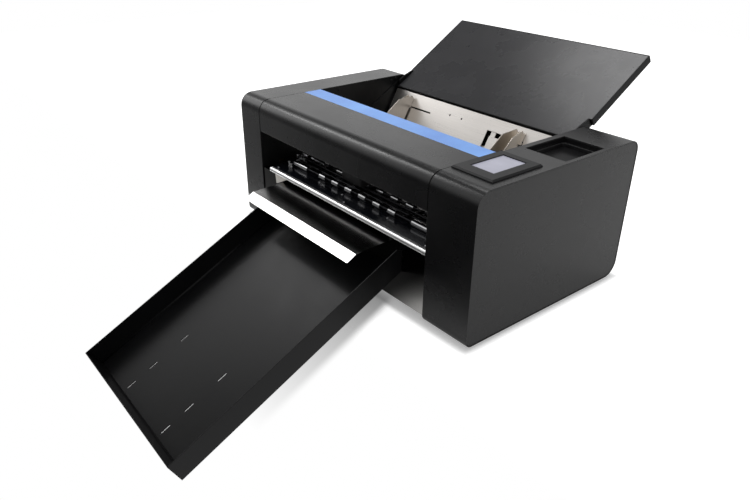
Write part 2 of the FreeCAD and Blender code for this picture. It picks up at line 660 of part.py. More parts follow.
bushes = []
for k, (y, z) in enumerate(SHAFTS):
    for side, inner_face, flange in (("left", LEFT, f"{LEFT} - 2*frame_thickness"),
                                     ("right", RIGHT, f"{RIGHT} + frame_thickness")):
        body_start = f"({LEFT} - frame_thickness)" if side == "left" else RIGHT
        sleeve = rod(f"{side}_bush_{k}_body", "x", BUSH, "frame_thickness", (body_start, y, z))
        collar = rod(f"{side}_bush_{k}_collar", "x", "bearing_radius", "frame_thickness",
                     (flange, y, z))
        bore = rod(f"{side}_bush_{k}_bore", "x", "shaft_radius + running_gap",
                   "4*frame_thickness", (f"{flange} - 2*frame_thickness", y, z)) \
            if side == "right" else \
            rod(f"{side}_bush_{k}_bore", "x", "shaft_radius + running_gap",
                "4*frame_thickness", (flange, y, z))
        bushes.append(cut(f"{side}_bush_{k}", fuse(f"{side}_bush_{k}_whole", sleeve, collar), bore))
part("shaft_bearings", group("bearings", *bushes))

# ---------------------------------------------------------------- hood, cross bar and trim strip
hood = prism("hood_sheet", "yz",
             [(back("hood_length"), "body_height"), (back("0"), "body_height"),
              (back("0"), "hood_bottom"), (back("hood_lip"), "hood_bottom"),
              (back("hood_lip"), "hood_bottom + lip_rise"),
              (back("hood_lip - skin_thickness"), "hood_bottom + lip_rise"),
              (back("hood_lip - skin_thickness"), "hood_bottom + skin_thickness"),
              (back("skin_thickness"), "hood_bottom + skin_thickness"),
              (back("skin_thickness"), "body_height - skin_thickness"),
              (back("hood_length"), "body_height - skin_thickness")],
             f"{BAY} - 2*seam_gap", f"{LEFT} + seam_gap",
             [((8,), "front_top_radius - skin_thickness"), ((1,), "front_top_radius")])
part("front_hood", hood)

STRIP_FRONT = "(hood_length + 0.5*seam_gap)"
BAR_REAR = "(hood_length + 0.5*seam_gap + strip_width)"
bar_top = "(body_height - strip_thickness)"
bar = prism("bar_channel", "yz",
            [(back("hood_length - bar_shelf"), "body_height - skin_thickness"),
             (back("hood_length"), "body_height - skin_thickness"),
             (back("hood_length"), bar_top), (back(BAR_REAR), bar_top),
             (back(BAR_REAR), f"{bar_top} - bar_depth + strip_thickness"),
             (back(f"{BAR_REAR} - frame_thickness"), f"{bar_top} - bar_depth + strip_thickness"),
             (back(f"{BAR_REAR} - frame_thickness"), f"{bar_top} - frame_thickness"),
             (back("hood_length - bar_shelf + frame_thickness"), f"{bar_top} - frame_thickness"),
             (back("hood_length - bar_shelf + frame_thickness"),
              f"{bar_top} - bar_depth + strip_thickness"),
             (back("hood_length - bar_shelf"), f"{bar_top} - bar_depth + strip_thickness")],
            BAY, LEFT)
part("top_crossbar", bar)
part("trim_strip", box("strip", (f"{LEFT} + 0.5*seam_gap", back(STRIP_FRONT), bar_top),
                       (f"{BAY} - 1.5*seam_gap", "strip_width", "strip_thickness")))

# ---------------------------------------------------------------- base pan, lower front panel, feet
PAN_FRONT = back("panel_back + panel_sheet")
PAN_DEPTH = "(body_depth - panel_back - panel_sheet - rear_bottom_radius - 5)"
pan_block = box("pan_block", (LEFT, PAN_FRONT, 0), (BAY, PAN_DEPTH, "pan_flange"))
pan_room = box("pan_room", (f"{LEFT} + frame_thickness", f"{PAN_FRONT} + frame_thickness",
                            "frame_thickness"),
               (f"{BAY} - 2*frame_thickness", f"{PAN_DEPTH} - 2*frame_thickness", "pan_flange"))
raised = box("pan_raised", (LEFT, PAN_FRONT, 0),
             (BAY, "pan_step + frame_thickness", "panel_bottom + frame_thickness"))
below = box("pan_below", (f"{LEFT} - 1", f"{PAN_FRONT} - 1", -1),
            (f"{BAY} + 2", "pan_step + 1", "panel_bottom + 1"))
part("base_pan", cut("pan", fuse("pan_whole", cut("pan_tub", pan_block, pan_room), raised), below))

PANEL_Y = back("panel_back")
front_sheet = prism("front_sheet", "yz",
                    [(PANEL_Y, "panel_bottom"), (f"{PANEL_Y} + panel_sheet", "panel_bottom"),
                     (f"{PANEL_Y} + panel_sheet", "panel_top - panel_sheet"),
                     (f"{PANEL_Y} + panel_flange", "panel_top - panel_sheet"),
                     (f"{PANEL_Y} + panel_flange", "panel_top"), (PANEL_Y, "panel_top")],
                    f"{BAY} - 2*seam_gap", f"{LEFT} + seam_gap")
TRAY_PIN_Y = back("tray_pivot_back")
slots, lugs = [], []
for side, sign in (("left", "-"), ("right", "+")):
    wall = f"(tray_centre {sign} (tray_width - tray_sheet)/2)"
    slots.append(box(f"{side}_hook_slot",
                     (f"{wall} - hook_slot_width/2", f"{PANEL_Y} - 1", "hook_slot_bottom"),
                     ("hook_slot_width", "panel_back + 2*tray_pivot_back - panel_sheet",
                      "panel_top - hook_slot_bottom + 1")))
    pin = rod(f"{side}_hook_pin", "x", "hook_pin_radius", "hook_slot_width + 6",
              (f"{wall} - hook_slot_width/2 - 3", TRAY_PIN_Y, "tray_pivot_height"))
    lugs.append(pin)
    for place_name, offset in (("a", "- hook_slot_width/2 - 3"), ("b", "+ hook_slot_width/2 + 1")):
        lugs.append(box(f"{side}_lug_{place_name}",
                        (f"{wall} {offset}", f"{PANEL_Y} + panel_sheet",
                         "tray_pivot_height - 8"),
                        (2, "2*tray_pivot_back - panel_back - panel_sheet",
                         "notch_bottom - tray_pivot_height + 8 - panel_sheet")))
notch = box("deflector_notch", ("deflector_right - deflector_width - 1", f"{PANEL_Y} - 1",
                                "notch_bottom"),
            ("deflector_width + 2", "panel_flange + 2", "panel_top - notch_bottom + 1"))
part("lower_front_panel", fuse("front_panel", cut("front_sheet_cut", front_sheet, notch, *slots),
                               *lugs))

feet = []
for k, (x, y) in enumerate([(f"{LEFT_END} + foot_inset_left", back("foot_inset_front")),
                            (f"{RIGHT_END} - foot_inset_side", back("foot_inset_front")),
                            (f"{LEFT_END} + foot_inset_left", f"{REAR} - foot_inset_rear"),
                            (f"{RIGHT_END} - foot_inset_side", f"{REAR} - foot_inset_rear")]):
    feet.append(rod(f"foot_{k}", "z", "foot_radius", "foot_height", (x, y, "-foot_height")))
part("rubber_feet", group("feet", *feet))

# ---------------------------------------------------------------- rear panel, inlet and switch
LID_SLOPE = "(180 - lid_open_angle)"
REAR_TOP = (f"({HINGE_Z} - hinge_drop*cos({LID_SLOPE}) + (hinge_inset - skin_thickness"
            f" - hinge_drop*sin({LID_SLOPE}))*tan({LID_SLOPE}) - seat_gap/cos({LID_SLOPE}))")
rear_sheet = prism("rear_sheet", "yz",
                   [(REAR, REAR_TOP), (f"{REAR} - skin_thickness", REAR_TOP),
                    (f"{REAR} - skin_thickness", "skin_thickness"),
                    (f"{REAR} - rear_bottom_radius - 5", "skin_thickness"),
                    (f"{REAR} - rear_bottom_radius - 5", "0"), (REAR, "0")],
                   BAY, LEFT,
                   [((2,), "rear_bottom_radius - skin_thickness"), ((5,), "rear_bottom_radius")])
grille = [box(f"vent_{k}",
              (f"{k}*vent_pitch", f"{REAR} - 2*skin_thickness", "body_height/2"),
              ("vent_width", "3*skin_thickness", "vent_height"))
          for k in range(int(size("vent_count")))]
inlet_hole = box("inlet_hole",
                 ("-inlet_left - inlet_width/2 - seat_gap", f"{REAR} - 2*skin_thickness",
                  "inlet_level - inlet_height/2 - seat_gap"),
                 ("inlet_width + 2*seat_gap", "3*skin_thickness", "inlet_height + 2*seat_gap"))
switch_hole = box("switch_hole",
                  ("-switch_left - 9 - seat_gap", f"{REAR} - 2*skin_thickness",
                   "inlet_level - 13 - seat_gap"),
                  ("18 + 2*seat_gap", "3*skin_thickness", "26 + 2*seat_gap"))
part("rear_panel", cut("rear_sheet_cut", rear_sheet, *grille, inlet_hole, switch_hole))

socket_flange = box("socket_flange",
                    ("-switch_left - 14", f"{REAR} - skin_thickness - 2", "inlet_level - 18"),
                    ("switch_left - inlet_left + 14 + inlet_width/2 + 5", 2, 36))
socket_block = box("socket_block",
                   ("-inlet_left - inlet_width/2", f"{REAR} - 24", "inlet_level - inlet_height/2"),
                   ("inlet_width", 24, "inlet_height"))
switch_block = box("switch_block", ("-switch_left - 9", f"{REAR} - 20", "inlet_level - 13"),
                   (18, 20, 26))
socket_room = box("socket_room",
                  ("-inlet_left - inlet_width/2 + 2.5", f"{REAR} - 17",
                   "inlet_level - inlet_height/2 + 2.5"),
                  ("inlet_width - 5", 18, "inlet_height - 5"))
switch_room = box("switch_room", ("-switch_left - 6.5", f"{REAR} - 17", "inlet_level - 11.4"),
                  (13, 18, 22.8))
trunnion_hole = rod("trunnion_hole", "x", "1.5 + running_gap", 16,
                    ("-switch_left - 8", f"{REAR} - 7", "inlet_level"))
part("power_inlet", cut("inlet_moulding",
                        fuse("inlet_whole", socket_flange, socket_block, switch_block),
                        socket_room, switch_room, trunnion_hole))
rocker = prism("rocker_body", "yz", [("-6", "-7"), ("3.5", "-9.5"), ("2.2", "0"),
                                     ("3.5", "9.5"), ("-6", "7")], "12", "-6")
trunnion = rod("rocker_pin", "x", 1.5, 15.4, (-7.7, 0, 0))
rocker = fuse("rocker", rocker, trunnion)
part("power_switch", place(rocker, ("-switch_left", f"{REAR} - 7", "inlet_level"),
                           ("-x", "rocker_tilt")))

# ---------------------------------------------------------------- platen, nose, cutting strip
PLATEN_LEFT = f"({LEFT} + platen_left_gap)"
PLATEN_WIDTH = f"({BAY} - platen_left_gap - seam_gap)"
SHORT = [f"{sign}{k + 0.5}*roller_pitch" for k in range(3) for sign in "-+"]
LONG = ["-end_roller_offset", "+end_roller_offset"]
ROLLERS = [(offset, "roller_length") for offset in SHORT] + \
          [(offset, "end_roller_length") for offset in LONG]
platen_block = box("platen_block", (PLATEN_LEFT, back("nose_depth"),
                                    "platen_height - platen_thickness"),
                   (PLATEN_WIDTH, "platen_rear - nose_depth", "platen_thickness"))
windows = []
for row in ("front_row", "rear_row"):
    for k, (offset, length) in enumerate(ROLLERS):
        windows.append(box(f"{row}_window_{k}",
                           (f"roller_centre {offset} - {length}/2 - window_margin",
                            back(f"{row} - window_width/2"), "platen_height - 2*platen_thickness"),
                           (f"{length} + 2*window_margin", "window_width",
                            "3*platen_thickness")))
groove = box("strip_slot", (f"{PLATEN_LEFT} - 1", back("cut_line - strip_groove/2"),
                            "platen_height - strip_inlay"),
             (f"{PLATEN_WIDTH} + 2", "strip_groove", "2*strip_inlay"))
part("platen", cut("platen_plate", platen_block, *windows, groove))
part("cutting_strip", box("strip_bar",
                          (f"{PLATEN_LEFT} + seat_gap",
                           back("cut_line - strip_groove/2 + seat_gap"),
                           "platen_height - strip_inlay"),
                          (f"{PLATEN_WIDTH} - 2*seat_gap", "strip_groove - 2*seat_gap",
                           "strip_inlay")))
nose = prism("nose_bar", "yz",
             [(back("0"), "platen_height - nose_height"),
              (back("nose_depth"), "platen_height - nose_height"),
              (back("nose_depth"), "platen_height"), (back("0"), "platen_height")],
             PLATEN_WIDTH, PLATEN_LEFT, [((0, 3), "nose_radius")])
part("platen_nose", nose)
channel_top = "(platen_height - platen_thickness)"
channel = box("channel_block", (LEFT, back("cut_line - support_width/2"),
                                f"{channel_top} - support_height"),
              (BAY, "support_width", "support_height"))
channel_room = box("channel_room", (f"{LEFT} - 1", back("cut_line - support_width/2 + 2"),
                                    f"{channel_top} - support_height - 1"),
                   (f"{BAY} + 2", "support_width - 4", "support_height - 1"))
part("platen_support", cut("channel_bar", channel, channel_room))

# ---------------------------------------------------------------- exit deflector
TAIL_Z = "(deflector_height + deflector_tail*tan(deflector_slope))"
BEND_Z = "(deflector_height - deflector_reach*tan(deflector_slope))"
LIP_Y = back("-deflector_reach - deflector_lip*cos(lip_slope)")
LIP_Z = f"({BEND_Z} - deflector_lip*sin(lip_slope))"
deflector = prism("deflector_bent", "yz",
                  [(LIP_Y, LIP_Z), (back("-deflector_reach"), BEND_Z),
                   (back("deflector_tail - deflector_sheet"), TAIL_Z),
                   (back("deflector_tail - deflector_sheet"), f"{channel_top} - deflector_sheet"),
                   (back("deflector_tail - 12"), f"{channel_top} - deflector_sheet"),
                   (back("deflector_tail - 12"), channel_top),
                   (back("deflector_tail"), channel_top),
                   (back("deflector_tail"), f"{TAIL_Z} - deflector_sheet"),
                   (back("-deflector_reach"), f"{BEND_Z} - deflector_sheet"),
                   (f"{LIP_Y} - deflector_sheet*sin(lip_slope)",
                    f"{LIP_Z} - deflector_sheet*cos(lip_slope)")],
                  "deflector_width", "deflector_right - deflector_width")
part("exit_deflector", deflector)

# ---------------------------------------------------------------- feed shafts and their drive
PULLEY_X = f"({RIGHT} + 2*frame_thickness + 2)"
SHAFT_START = f"({LEFT} - 3*frame_thickness)"
SHAFT_END = f"({PULLEY_X} + pulley_width + 1)"
for node, row in (("front_feed_shaft", "front_row"), ("rear_feed_shaft", "rear_row")):
    at = (back(row), SHAFT_LEVEL)
    pieces = [rod(f"{row}_bar", "x", "shaft_radius", f"{SHAFT_END} - {SHAFT_START}",
                  (SHAFT_START, *at)),
              rod(f"{row}_pulley", "x", "feed_pulley_radius", "pulley_width", (PULLEY_X, *at))]
    for k, (offset, length) in enumerate(ROLLERS):
        pieces.append(rod(f"{row}_grit_{k}", "x", "grit_radius", length,
                          (f"roller_centre {offset} - {length}/2", *at)))
    part(node, fuse(f"{row}_shaft", *pieces))


def stepper(name, corner, spans, axis, bore_start, *ears):
    """A stepper motor body, its mounting ears, and the bore that its shaft runs in."""
    body = box(f"{name}_body", corner, spans)
    bore = rod(f"{name}_bore", axis, "motor_shaft_radius + running_gap", "motor_shaft_depth + 1",
               bore_start)
    return cut(f"{name}_motor", fuse(f"{name}_case", body, *ears) if ears else body, bore)


part("feed_motor",
     stepper("feed", (f"{RIGHT} - motor_length", back("cut_line - motor_size/2"),
                      "feed_motor_height - motor_size/2"),
             ("motor_length", "motor_size", "motor_size"), "x",
             (f"{RIGHT} - motor_shaft_depth", back("cut_line"), "feed_motor_height")))
motor_pulley = rod("motor_pulley", "x", "motor_pulley_radius", "pulley_width",
                   (PULLEY_X, back("cut_line"), "feed_motor_height"))
motor_rod = rod("motor_rod", "x", "motor_shaft_radius",
                f"{PULLEY_X} - {RIGHT} + motor_shaft_depth - 1",
                (f"{RIGHT} - motor_shaft_depth + 1", back("cut_line"), "feed_motor_height"))
part("feed_motor_pulley", fuse("pulley_on_motor", motor_pulley, motor_rod))
shaft_z = size("platen_height") + size("grit_rise") - size("grit_radius")
loose = size("seat_gap")
run = [(size("front_row"), shaft_z, size("feed_pulley_radius") + loose),
       (size("cut_line"), size("feed_motor_height"), size("motor_pulley_radius") + loose),
       (size("rear_row"), shaft_z, size("feed_pulley_radius") + loose)]
feed_belt = feature("feed_loop", ring_belt(run, size("belt_thickness"), size("belt_width")))
part("feed_belt", place(feed_belt, (f"{PULLEY_X} + (pulley_width - belt_width)/2", back("0"), 0)))

# ---------------------------------------------------------------- pinch rollers
PINCH_LEVEL = "(platen_height + grit_rise + nip_gap + pinch_radius)"
END_ARM = "(end_roller_offset + end_roller_length/2 + seam_gap + arm_thickness/2)"
MID_ARM = ("(2.5*roller_pitch + roller_length/2 + end_roller_offset - end_roller_length/2)/2")
ARMS = (f"-{END_ARM}", f"-{MID_ARM}", "+0", f"+{MID_ARM}", f"+{END_ARM}")
brackets = []
for node, row, pivot in (("front", "front_row", "(front_row + rocker_reach)"),
                         ("rear", "rear_row", "(rear_row - rocker_reach)")):
    axle = rod(f"{node}_axle", "x", "axle_radius", f"2*{END_ARM}",
               (f"roller_centre - {END_ARM}", back(row), PINCH_LEVEL))
    bar = rod(f"{node}_rocker_bar", "x", "rocker_radius", "2*(bracket_offset + arm_thickness)",
              ("roller_centre - bracket_offset - arm_thickness", back(pivot), PINCH_LEVEL))
    arms = []
    for k, offset in enumerate(ARMS):
        start = f"roller_centre {offset} - arm_thickness/2"
        low = "front_row" if node == "front" else "(rear_row - rocker_reach)"
        arms.append(box(f"{node}_arm_{k}", (start, back(low), f"{PINCH_LEVEL} - arm_height/2"),
                        ("arm_thickness", "rocker_reach", "arm_height")))
        for end, y in (("eye", row), ("hub", pivot)):
            arms.append(rod(f"{node}_arm_{k}_{end}", "x", "arm_height/2", "arm_thickness",
                            (start, back(y), PINCH_LEVEL)))
    part(f"{node}_pinch_rocker", fuse(f"{node}_rocker", axle, bar, *arms))
    rollers = []
    for k, (offset, length) in enumerate(ROLLERS):
        at = (f"roller_centre {offset} - {length}/2", back(row), PINCH_LEVEL)
        rollers.append(cut(f"{node}_pinch_{k}",
                           rod(f"{node}_pinch_{k}_body", "x", "pinch_radius", length, at),
                           rod(f"{node}_pinch_{k}_bore", "x", "axle_radius + running_gap",
                               length, at)))
    part(f"{node}_pinch_rollers", group(f"{node}_pinch", *rollers))
    for side, sign in (("left", "-"), ("right", "+")):
        start = f"roller_centre {sign} bracket_offset - arm_thickness/2"
        rim = back(f"{pivot} - stand_width/2")
        stand = box(f"{node}_{side}_stand", (start, rim, "platen_height"),
                    ("arm_thickness", "stand_width", "stand_height"))
        sole = box(f"{node}_{side}_sole",
                   (f"{start} - sole_length" if side == "left" else start, rim, "platen_height"),
                   ("arm_thickness + sole_length", "stand_width", "frame_thickness"))
        eye = rod(f"{node}_{side}_eye", "x", "rocker_radius + running_gap", "3*arm_thickness",
                  (f"{start} - arm_thickness", back(pivot), PINCH_LEVEL))
        brackets.append(cut(f"{node}_{side}_bracket", fuse(f"{node}_{side}_angle", stand, sole),
                            eye))
part("pinch_brackets", group("pinch_stands", *brackets))

# ---------------------------------------------------------------- carriage beam, rail, belt, motor
BEAM_TOP = "(beam_bottom + beam_height)"
BELT_Y = back("beam_front + beam_depth/2")
IDLER_X = f"({LEFT} + belt_end_inset)"
DRIVE_X = f"({RIGHT} - belt_end_inset)"
PULLEY_Z = "(carriage_belt_level - 2)"
MOTOR_Z = "(carriage_belt_level + belt_width + 5)"
beam_block = box("beam_block", (LEFT, back("beam_front"), "beam_bottom"),
                 (BAY, "beam_depth", "beam_height"))
beam_room = box("beam_room", (f"{LEFT} - 1", back("beam_front + 2"), "beam_bottom + 2"),
                (f"{BAY} + 2", "beam_depth - 4", "beam_height - 4"))
SHELF_X, SHELF_LENGTH = f"({DRIVE_X} - motor_size/2 - 1)", "belt_end_inset + motor_size/2 + 1"
MOTOR_Y = back("beam_front + (beam_depth - motor_size)/2")
shelf = box("motor_shelf", (SHELF_X, MOTOR_Y, f"{MOTOR_Z} - frame_thickness"),
            (SHELF_LENGTH, "motor_size", "frame_thickness"))
shelf_hole = rod("shelf_hole", "z", "pulley_radius + 3", "3*frame_thickness",
                 (DRIVE_X, BELT_Y, f"{MOTOR_Z} - 2*frame_thickness"))
legs = [box(f"shelf_leg_{k}", (SHELF_X, back(f"beam_front + {y}"), BEAM_TOP),
            (SHELF_LENGTH, "frame_thickness", f"{MOTOR_Z} - {BEAM_TOP} - 1"))
        for k, y in enumerate(("0", "beam_depth - frame_thickness"))]
post = rod("idler_post", "z", "motor_shaft_radius", f"{MOTOR_Z} - {BEAM_TOP}",
           (IDLER_X, BELT_Y, BEAM_TOP))
post_foot = rod("idler_foot", "z", 5, f"{PULLEY_Z} - {BEAM_TOP} - seat_gap",
                (IDLER_X, BELT_Y, BEAM_TOP))
part("carriage_beam", fuse("beam", cut("beam_tube", beam_block, beam_room),
                           cut("shelf_plate", shelf, shelf_hole), *legs, post, post_foot))
RAIL_Z = "(beam_bottom + beam_height/2 - rail_height/2)"
part("guide_rail", box("rail", (f"{LEFT} + 10", back("beam_front - rail_depth"), RAIL_Z),
                       (f"{BAY} - 20", "rail_depth", "rail_height")))
part("carriage_motor",
     stepper("carriage", (f"{DRIVE_X} - motor_size/2", MOTOR_Y, MOTOR_Z),
             ("motor_size", "motor_size", "motor_length"), "z",
             (DRIVE_X, BELT_Y, f"{MOTOR_Z} - 1")))


def flanged_pulley(name, x, bore):
    """Belt pulley with two flanges on an upright axis."""
    core = rod(f"{name}_core", "z", "pulley_radius", "belt_width + 4", (x, BELT_Y, PULLEY_Z))
    rims = [rod(f"{name}_rim_{k}", "z", "pulley_radius + 2.2", 1.5, (x, BELT_Y, level))
            for k, level in enumerate((PULLEY_Z, f"{PULLEY_Z} + belt_width + 2.5"))]
    pulley = fuse(f"{name}_whole", core, *rims)
    if not bore:
        return pulley
    return cut(f"{name}_bored", pulley,
               rod(f"{name}_bore", "z", bore, "belt_width + 6", (x, BELT_Y, f"{PULLEY_Z} - 1")))


drive_rod = rod("drive_rod", "z", "motor_shaft_radius",
                f"{MOTOR_Z} + motor_shaft_depth - 1 - {PULLEY_Z} - belt_width - 4",
                (DRIVE_X, BELT_Y, f"{PULLEY_Z} + belt_width + 4"))
part("belt_drive_pulley", fuse("drive_pulley", flanged_pulley("drive", DRIVE_X, None), drive_rod))
part("belt_idler_pulley", flanged_pulley("idler", IDLER_X, "motor_shaft_radius + running_gap"))


def belt_loop(name, radius):
    straight = box(f"{name}_run", (IDLER_X, f"{BELT_Y} - {radius}", "carriage_belt_level"),
                   (f"{DRIVE_X} - {IDLER_X}", f"2*{radius}", "belt_width"))
    ends = [rod(f"{name}_end_{k}", "z", radius, "belt_width", (x, BELT_Y, "carriage_belt_level"))
            for k, x in enumerate((IDLER_X, DRIVE_X))]
    return fuse(f"{name}_loop", straight, *ends)


part("carriage_belt", cut("belt_band",
                          belt_loop("belt_outer", "(pulley_radius + seat_gap + belt_thickness)"),
                          belt_loop("belt_inner", "(pulley_radius + seat_gap)")))

# ---------------------------------------------------------------- cutting carriage
CAR_LEFT = "(carriage_centre - carriage_width/2)"
COVER_REAR = "(cover_front + cover_depth)"
block = box("slide_block", (CAR_LEFT, back(COVER_REAR), f"{RAIL_Z} - 10"),
            ("carriage_width", f"beam_front - {COVER_REAR} - seat_gap", "rail_height + 20"))
rail_room = box("rail_room", (f"{CAR_LEFT} - 1", back("beam_front - rail_depth - seat_gap"),
                              f"{RAIL_Z} - seat_gap"),
                ("carriage_width + 2", "rail_depth + 2", "rail_height + 2*seat_gap"))
riser = box("belt_riser",
            ("carriage_centre - 10", back("beam_front - 14"), f"{RAIL_Z} + rail_height"),
            (20, 10, f"carriage_belt_level + belt_width + 3 - {RAIL_Z} - rail_height"))
clamp = box("belt_clamp", ("carriage_centre - 10", back("beam_front - 14"), f"{BEAM_TOP} + 1"),
            (20, 25, f"carriage_belt_level + belt_width + 2 - {BEAM_TOP}"))
band_y = "(beam_front + beam_depth/2 - pulley_radius - seat_gap - belt_thickness)"
clamp_slot = box("clamp_slot", ("carriage_centre - 11", back(f"{band_y} - seat_gap"),
                                "carriage_belt_level - seat_gap"),
                 (22, "belt_thickness + 2*seat_gap", "2*belt_width"))
part("carriage_block", cut("slide", fuse("slide_whole", block, riser, clamp), rail_room,
                           clamp_slot))
cover = prism("cover_block", "xy",
              [(CAR_LEFT, back("cover_front")),
               (f"{CAR_LEFT} + carriage_width", back("cover_front")),
               (f"{CAR_LEFT} + carriage_width", back(COVER_REAR)), (CAR_LEFT, back(COVER_REAR))],
              "cover_top - cover_bottom", "cover_bottom", [((0, 1), "cover_radius")])
holder_bore = rod("holder_bore", "z", "holder_radius + running_gap",
                  "holder_top - cover_bottom + 6",
                  ("carriage_centre", back("cut_line"), "cover_bottom - 1"))
part("carriage_cover", cut("cover_bored", cover, holder_bore))
barrel = rod("holder_barrel", "z", "holder_radius", "holder_top - cover_bottom - 2.5",
             ("carriage_centre", back("cut_line"), "cover_bottom + 2.5"))
tip = rod("holder_tip", "z", "holder_nose_radius", "cover_bottom + 3 - nose_tip",
          ("carriage_centre", back("cut_line"), "nose_tip"))
blade_bore = rod("blade_bore", "z", "blade_radius + running_gap", 31,
                 ("carriage_centre", back("cut_line"), "nose_tip - 1"))
part("tool_holder", cut("holder", fuse("holder_whole", barrel, tip), blade_bore))
shank = rod("blade_shank", "z", "blade_radius", 26, ("carriage_centre", back("cut_line"),
                                                     "blade_tip + 2"))
point = prism("blade_point", "xz",
              [("carriage_centre - blade_radius", "blade_tip"),
               ("carriage_centre + blade_radius", "blade_tip + 2"),
               ("carriage_centre - blade_radius", "blade_tip + 2")], 0.3, back("cut_line - 0.15"))
part("cutting_blade", fuse("blade", shank, point))

# ---------------------------------------------------------------- hopper plate and chute
TILT = "(90 - hopper_slope)"
CHUTE_TOP = "(platen_height - chute_drop)"
KNEE = f"(chute_radius*tan(hopper_slope/2) + chute_straight)"
PLATE_LENGTH = f"(({PLATE_Z} - {CHUTE_TOP})/sin(hopper_slope) - {KNEE} - seat_gap)"
PLATE_LEFT = f"({LEFT} + plate_side_gap + 0.5*seam_gap)"
PLATE_WIDTH = f"({BAY} - 2*plate_side_gap - 0.5*seam_gap)"


def on_plate(obj):
    """Set a piece drawn on the upright hopper plate back to the plate's slope."""
    return place(obj, (0, PLATE_Y, PLATE_Z), ("-x", TILT))


plate_blank = box("plate_blank", (PLATE_LEFT, 0, f"-{PLATE_LENGTH}"),
                  (PLATE_WIDTH, "plate_sheet", PLATE_LENGTH))
left_slot = box("left_slot", ("guide_slot_left", -2, "-slot_level - guide_slot_height/2"),
                ("guide_travel + 4", 6, "guide_slot_height"))
window = box("lift_window", ("window_left", -2, "-window_bottom"),
             ("window_right - window_left", 6, "window_bottom - window_top"))
leg = box("right_slot", ("window_left", -2, "-window_top - window_leg"),
          ("guide_travel + 31", 6, "window_leg"))
PINION_Z = "(slot_level + 18.5)"
RACK_Y = "(plate_sheet + rack_back)"
holes = [rod(f"sensor_hole_{k}", "y", 2, 6, (x, -2, "-22")) for k, x in enumerate((-74, -39))]
stud = rod("pinion_stud", "y", 3, f"{RACK_Y} + rack_width + 1",
           ("guide_middle", 0.5, f"-{PINION_Z}"))
WIRE_Z = "(window_bottom - 3)"
wire = rod("hinge_bar", "x", "hinge_wire", "window_right - window_left + 4",
           ("window_left - 2", "plate_sheet/2", f"-{WIRE_Z}"))
stop = box("lift_stop", ("window_left + lift_gap + 1", "plate_sheet",
                         "-window_top - window_leg - 8"), (12, 1.5, "window_leg + 14"))
part("hopper_plate", on_plate(fuse("plate_whole",
                                   cut("plate_cut", plate_blank, left_slot, window, leg, *holes),
                                   stud, wire, stop)))

LIFT_LEFT, LIFT_WIDTH = "(window_left + lift_gap)", "window_right - window_left - 2*lift_gap"
tab = box("lift_tab", (LIFT_LEFT, 0, f"-{WIRE_Z} + 1"),
          (LIFT_WIDTH, "plate_sheet", f"{WIRE_Z} - window_top - window_leg - 2"))
knuckle = rod("lift_knuckle", "x", "2*hinge_wire", LIFT_WIDTH,
              (LIFT_LEFT, "plate_sheet/2", f"-{WIRE_Z}"))
knuckle_bore = rod("knuckle_bore", "x", "hinge_wire + running_gap", "window_right - window_left",
                   ("window_left", "plate_sheet/2", f"-{WIRE_Z}"))
part("lift_plate", on_plate(cut("lift_whole", fuse("lift_blank", tab, knuckle), knuckle_bore)))

KNEE_Y = f"{PLATE_Y} - ({PLATE_Z} - {CHUTE_TOP})/tan(hopper_slope)"
chute = prism("chute_bent", "yz",
              [(back("platen_rear"), f"{CHUTE_TOP} - plate_sheet"),
               (f"{KNEE_Y} + plate_sheet*tan(hopper_slope/2)", f"{CHUTE_TOP} - plate_sheet"),
               (f"{KNEE_Y} + {KNEE}*cos(hopper_slope) + plate_sheet*sin(hopper_slope)",
                f"{CHUTE_TOP} + {KNEE}*sin(hopper_slope) - plate_sheet*cos(hopper_slope)"),
               (f"{KNEE_Y} + {KNEE}*cos(hopper_slope)", f"{CHUTE_TOP} + {KNEE}*sin(hopper_slope)"),
               (KNEE_Y, CHUTE_TOP), (back("platen_rear"), CHUTE_TOP)],
              BAY, LEFT, [((4,), "chute_radius"), ((1,), "chute_radius + plate_sheet")])
part("feed_chute", chute)

cheeks = []
for side, start, tab_start in (("left", LEFT, LEFT),
                               ("right", f"{RIGHT} - frame_thickness", f"{RIGHT} - cheek_tab_width")):
    wall = prism(f"{side}_cheek_wall", "yz",
                 [(f"{PLATE_Y} + cheek_rear", f"{PLATE_Z} + cheek_rise"),
                  (f"{PLATE_Y} - cheek_reach", f"{PLATE_Z} - cheek_slope_drop"),
                  (f"{PLATE_Y} - cheek_reach", f"{PLATE_Z} - cheek_drop"),
                  (f"{PLATE_Y} - cheek_reach/3", f"{PLATE_Z} - cheek_drop"),
                  (f"{PLATE_Y} + cheek_rear", f"{PLATE_Z} - cheek_rear")],
                 "frame_thickness", start)
    tongue = on_plate(group(f"{side}_cheek_tongue",
                            box(f"{side}_cheek_tab",
                                (tab_start, "plate_sheet", "-1.5*cheek_tab_height"),
                                ("cheek_tab_width", "frame_thickness", "cheek_tab_height"))))
    cheeks.append(fuse(f"{side}_cheek", wall, tongue))
part("hopper_cheeks", group("cheek_plates", *cheeks))

# ---------------------------------------------------------------- sheet guides and their rack drive

def fin(name, start, reach):
    """One wall of a guide channel, standing out from the hopper plate."""
    out = f"{reach}*guide_reach"
    return prism(name, "yz",
                 [("-0.5", "-12"), ("-7", "-8"), (f"-0.72*{out}", "-30"), (f"-{out}", "-66"),
                  (f"-{out}", "guide_lift - window_bottom - 9"),
                  ("-3.6", "guide_lift - window_bottom - 9"), ("-3.6", "-35"), ("-0.5", "-35")],
                 "guide_sheet", start)


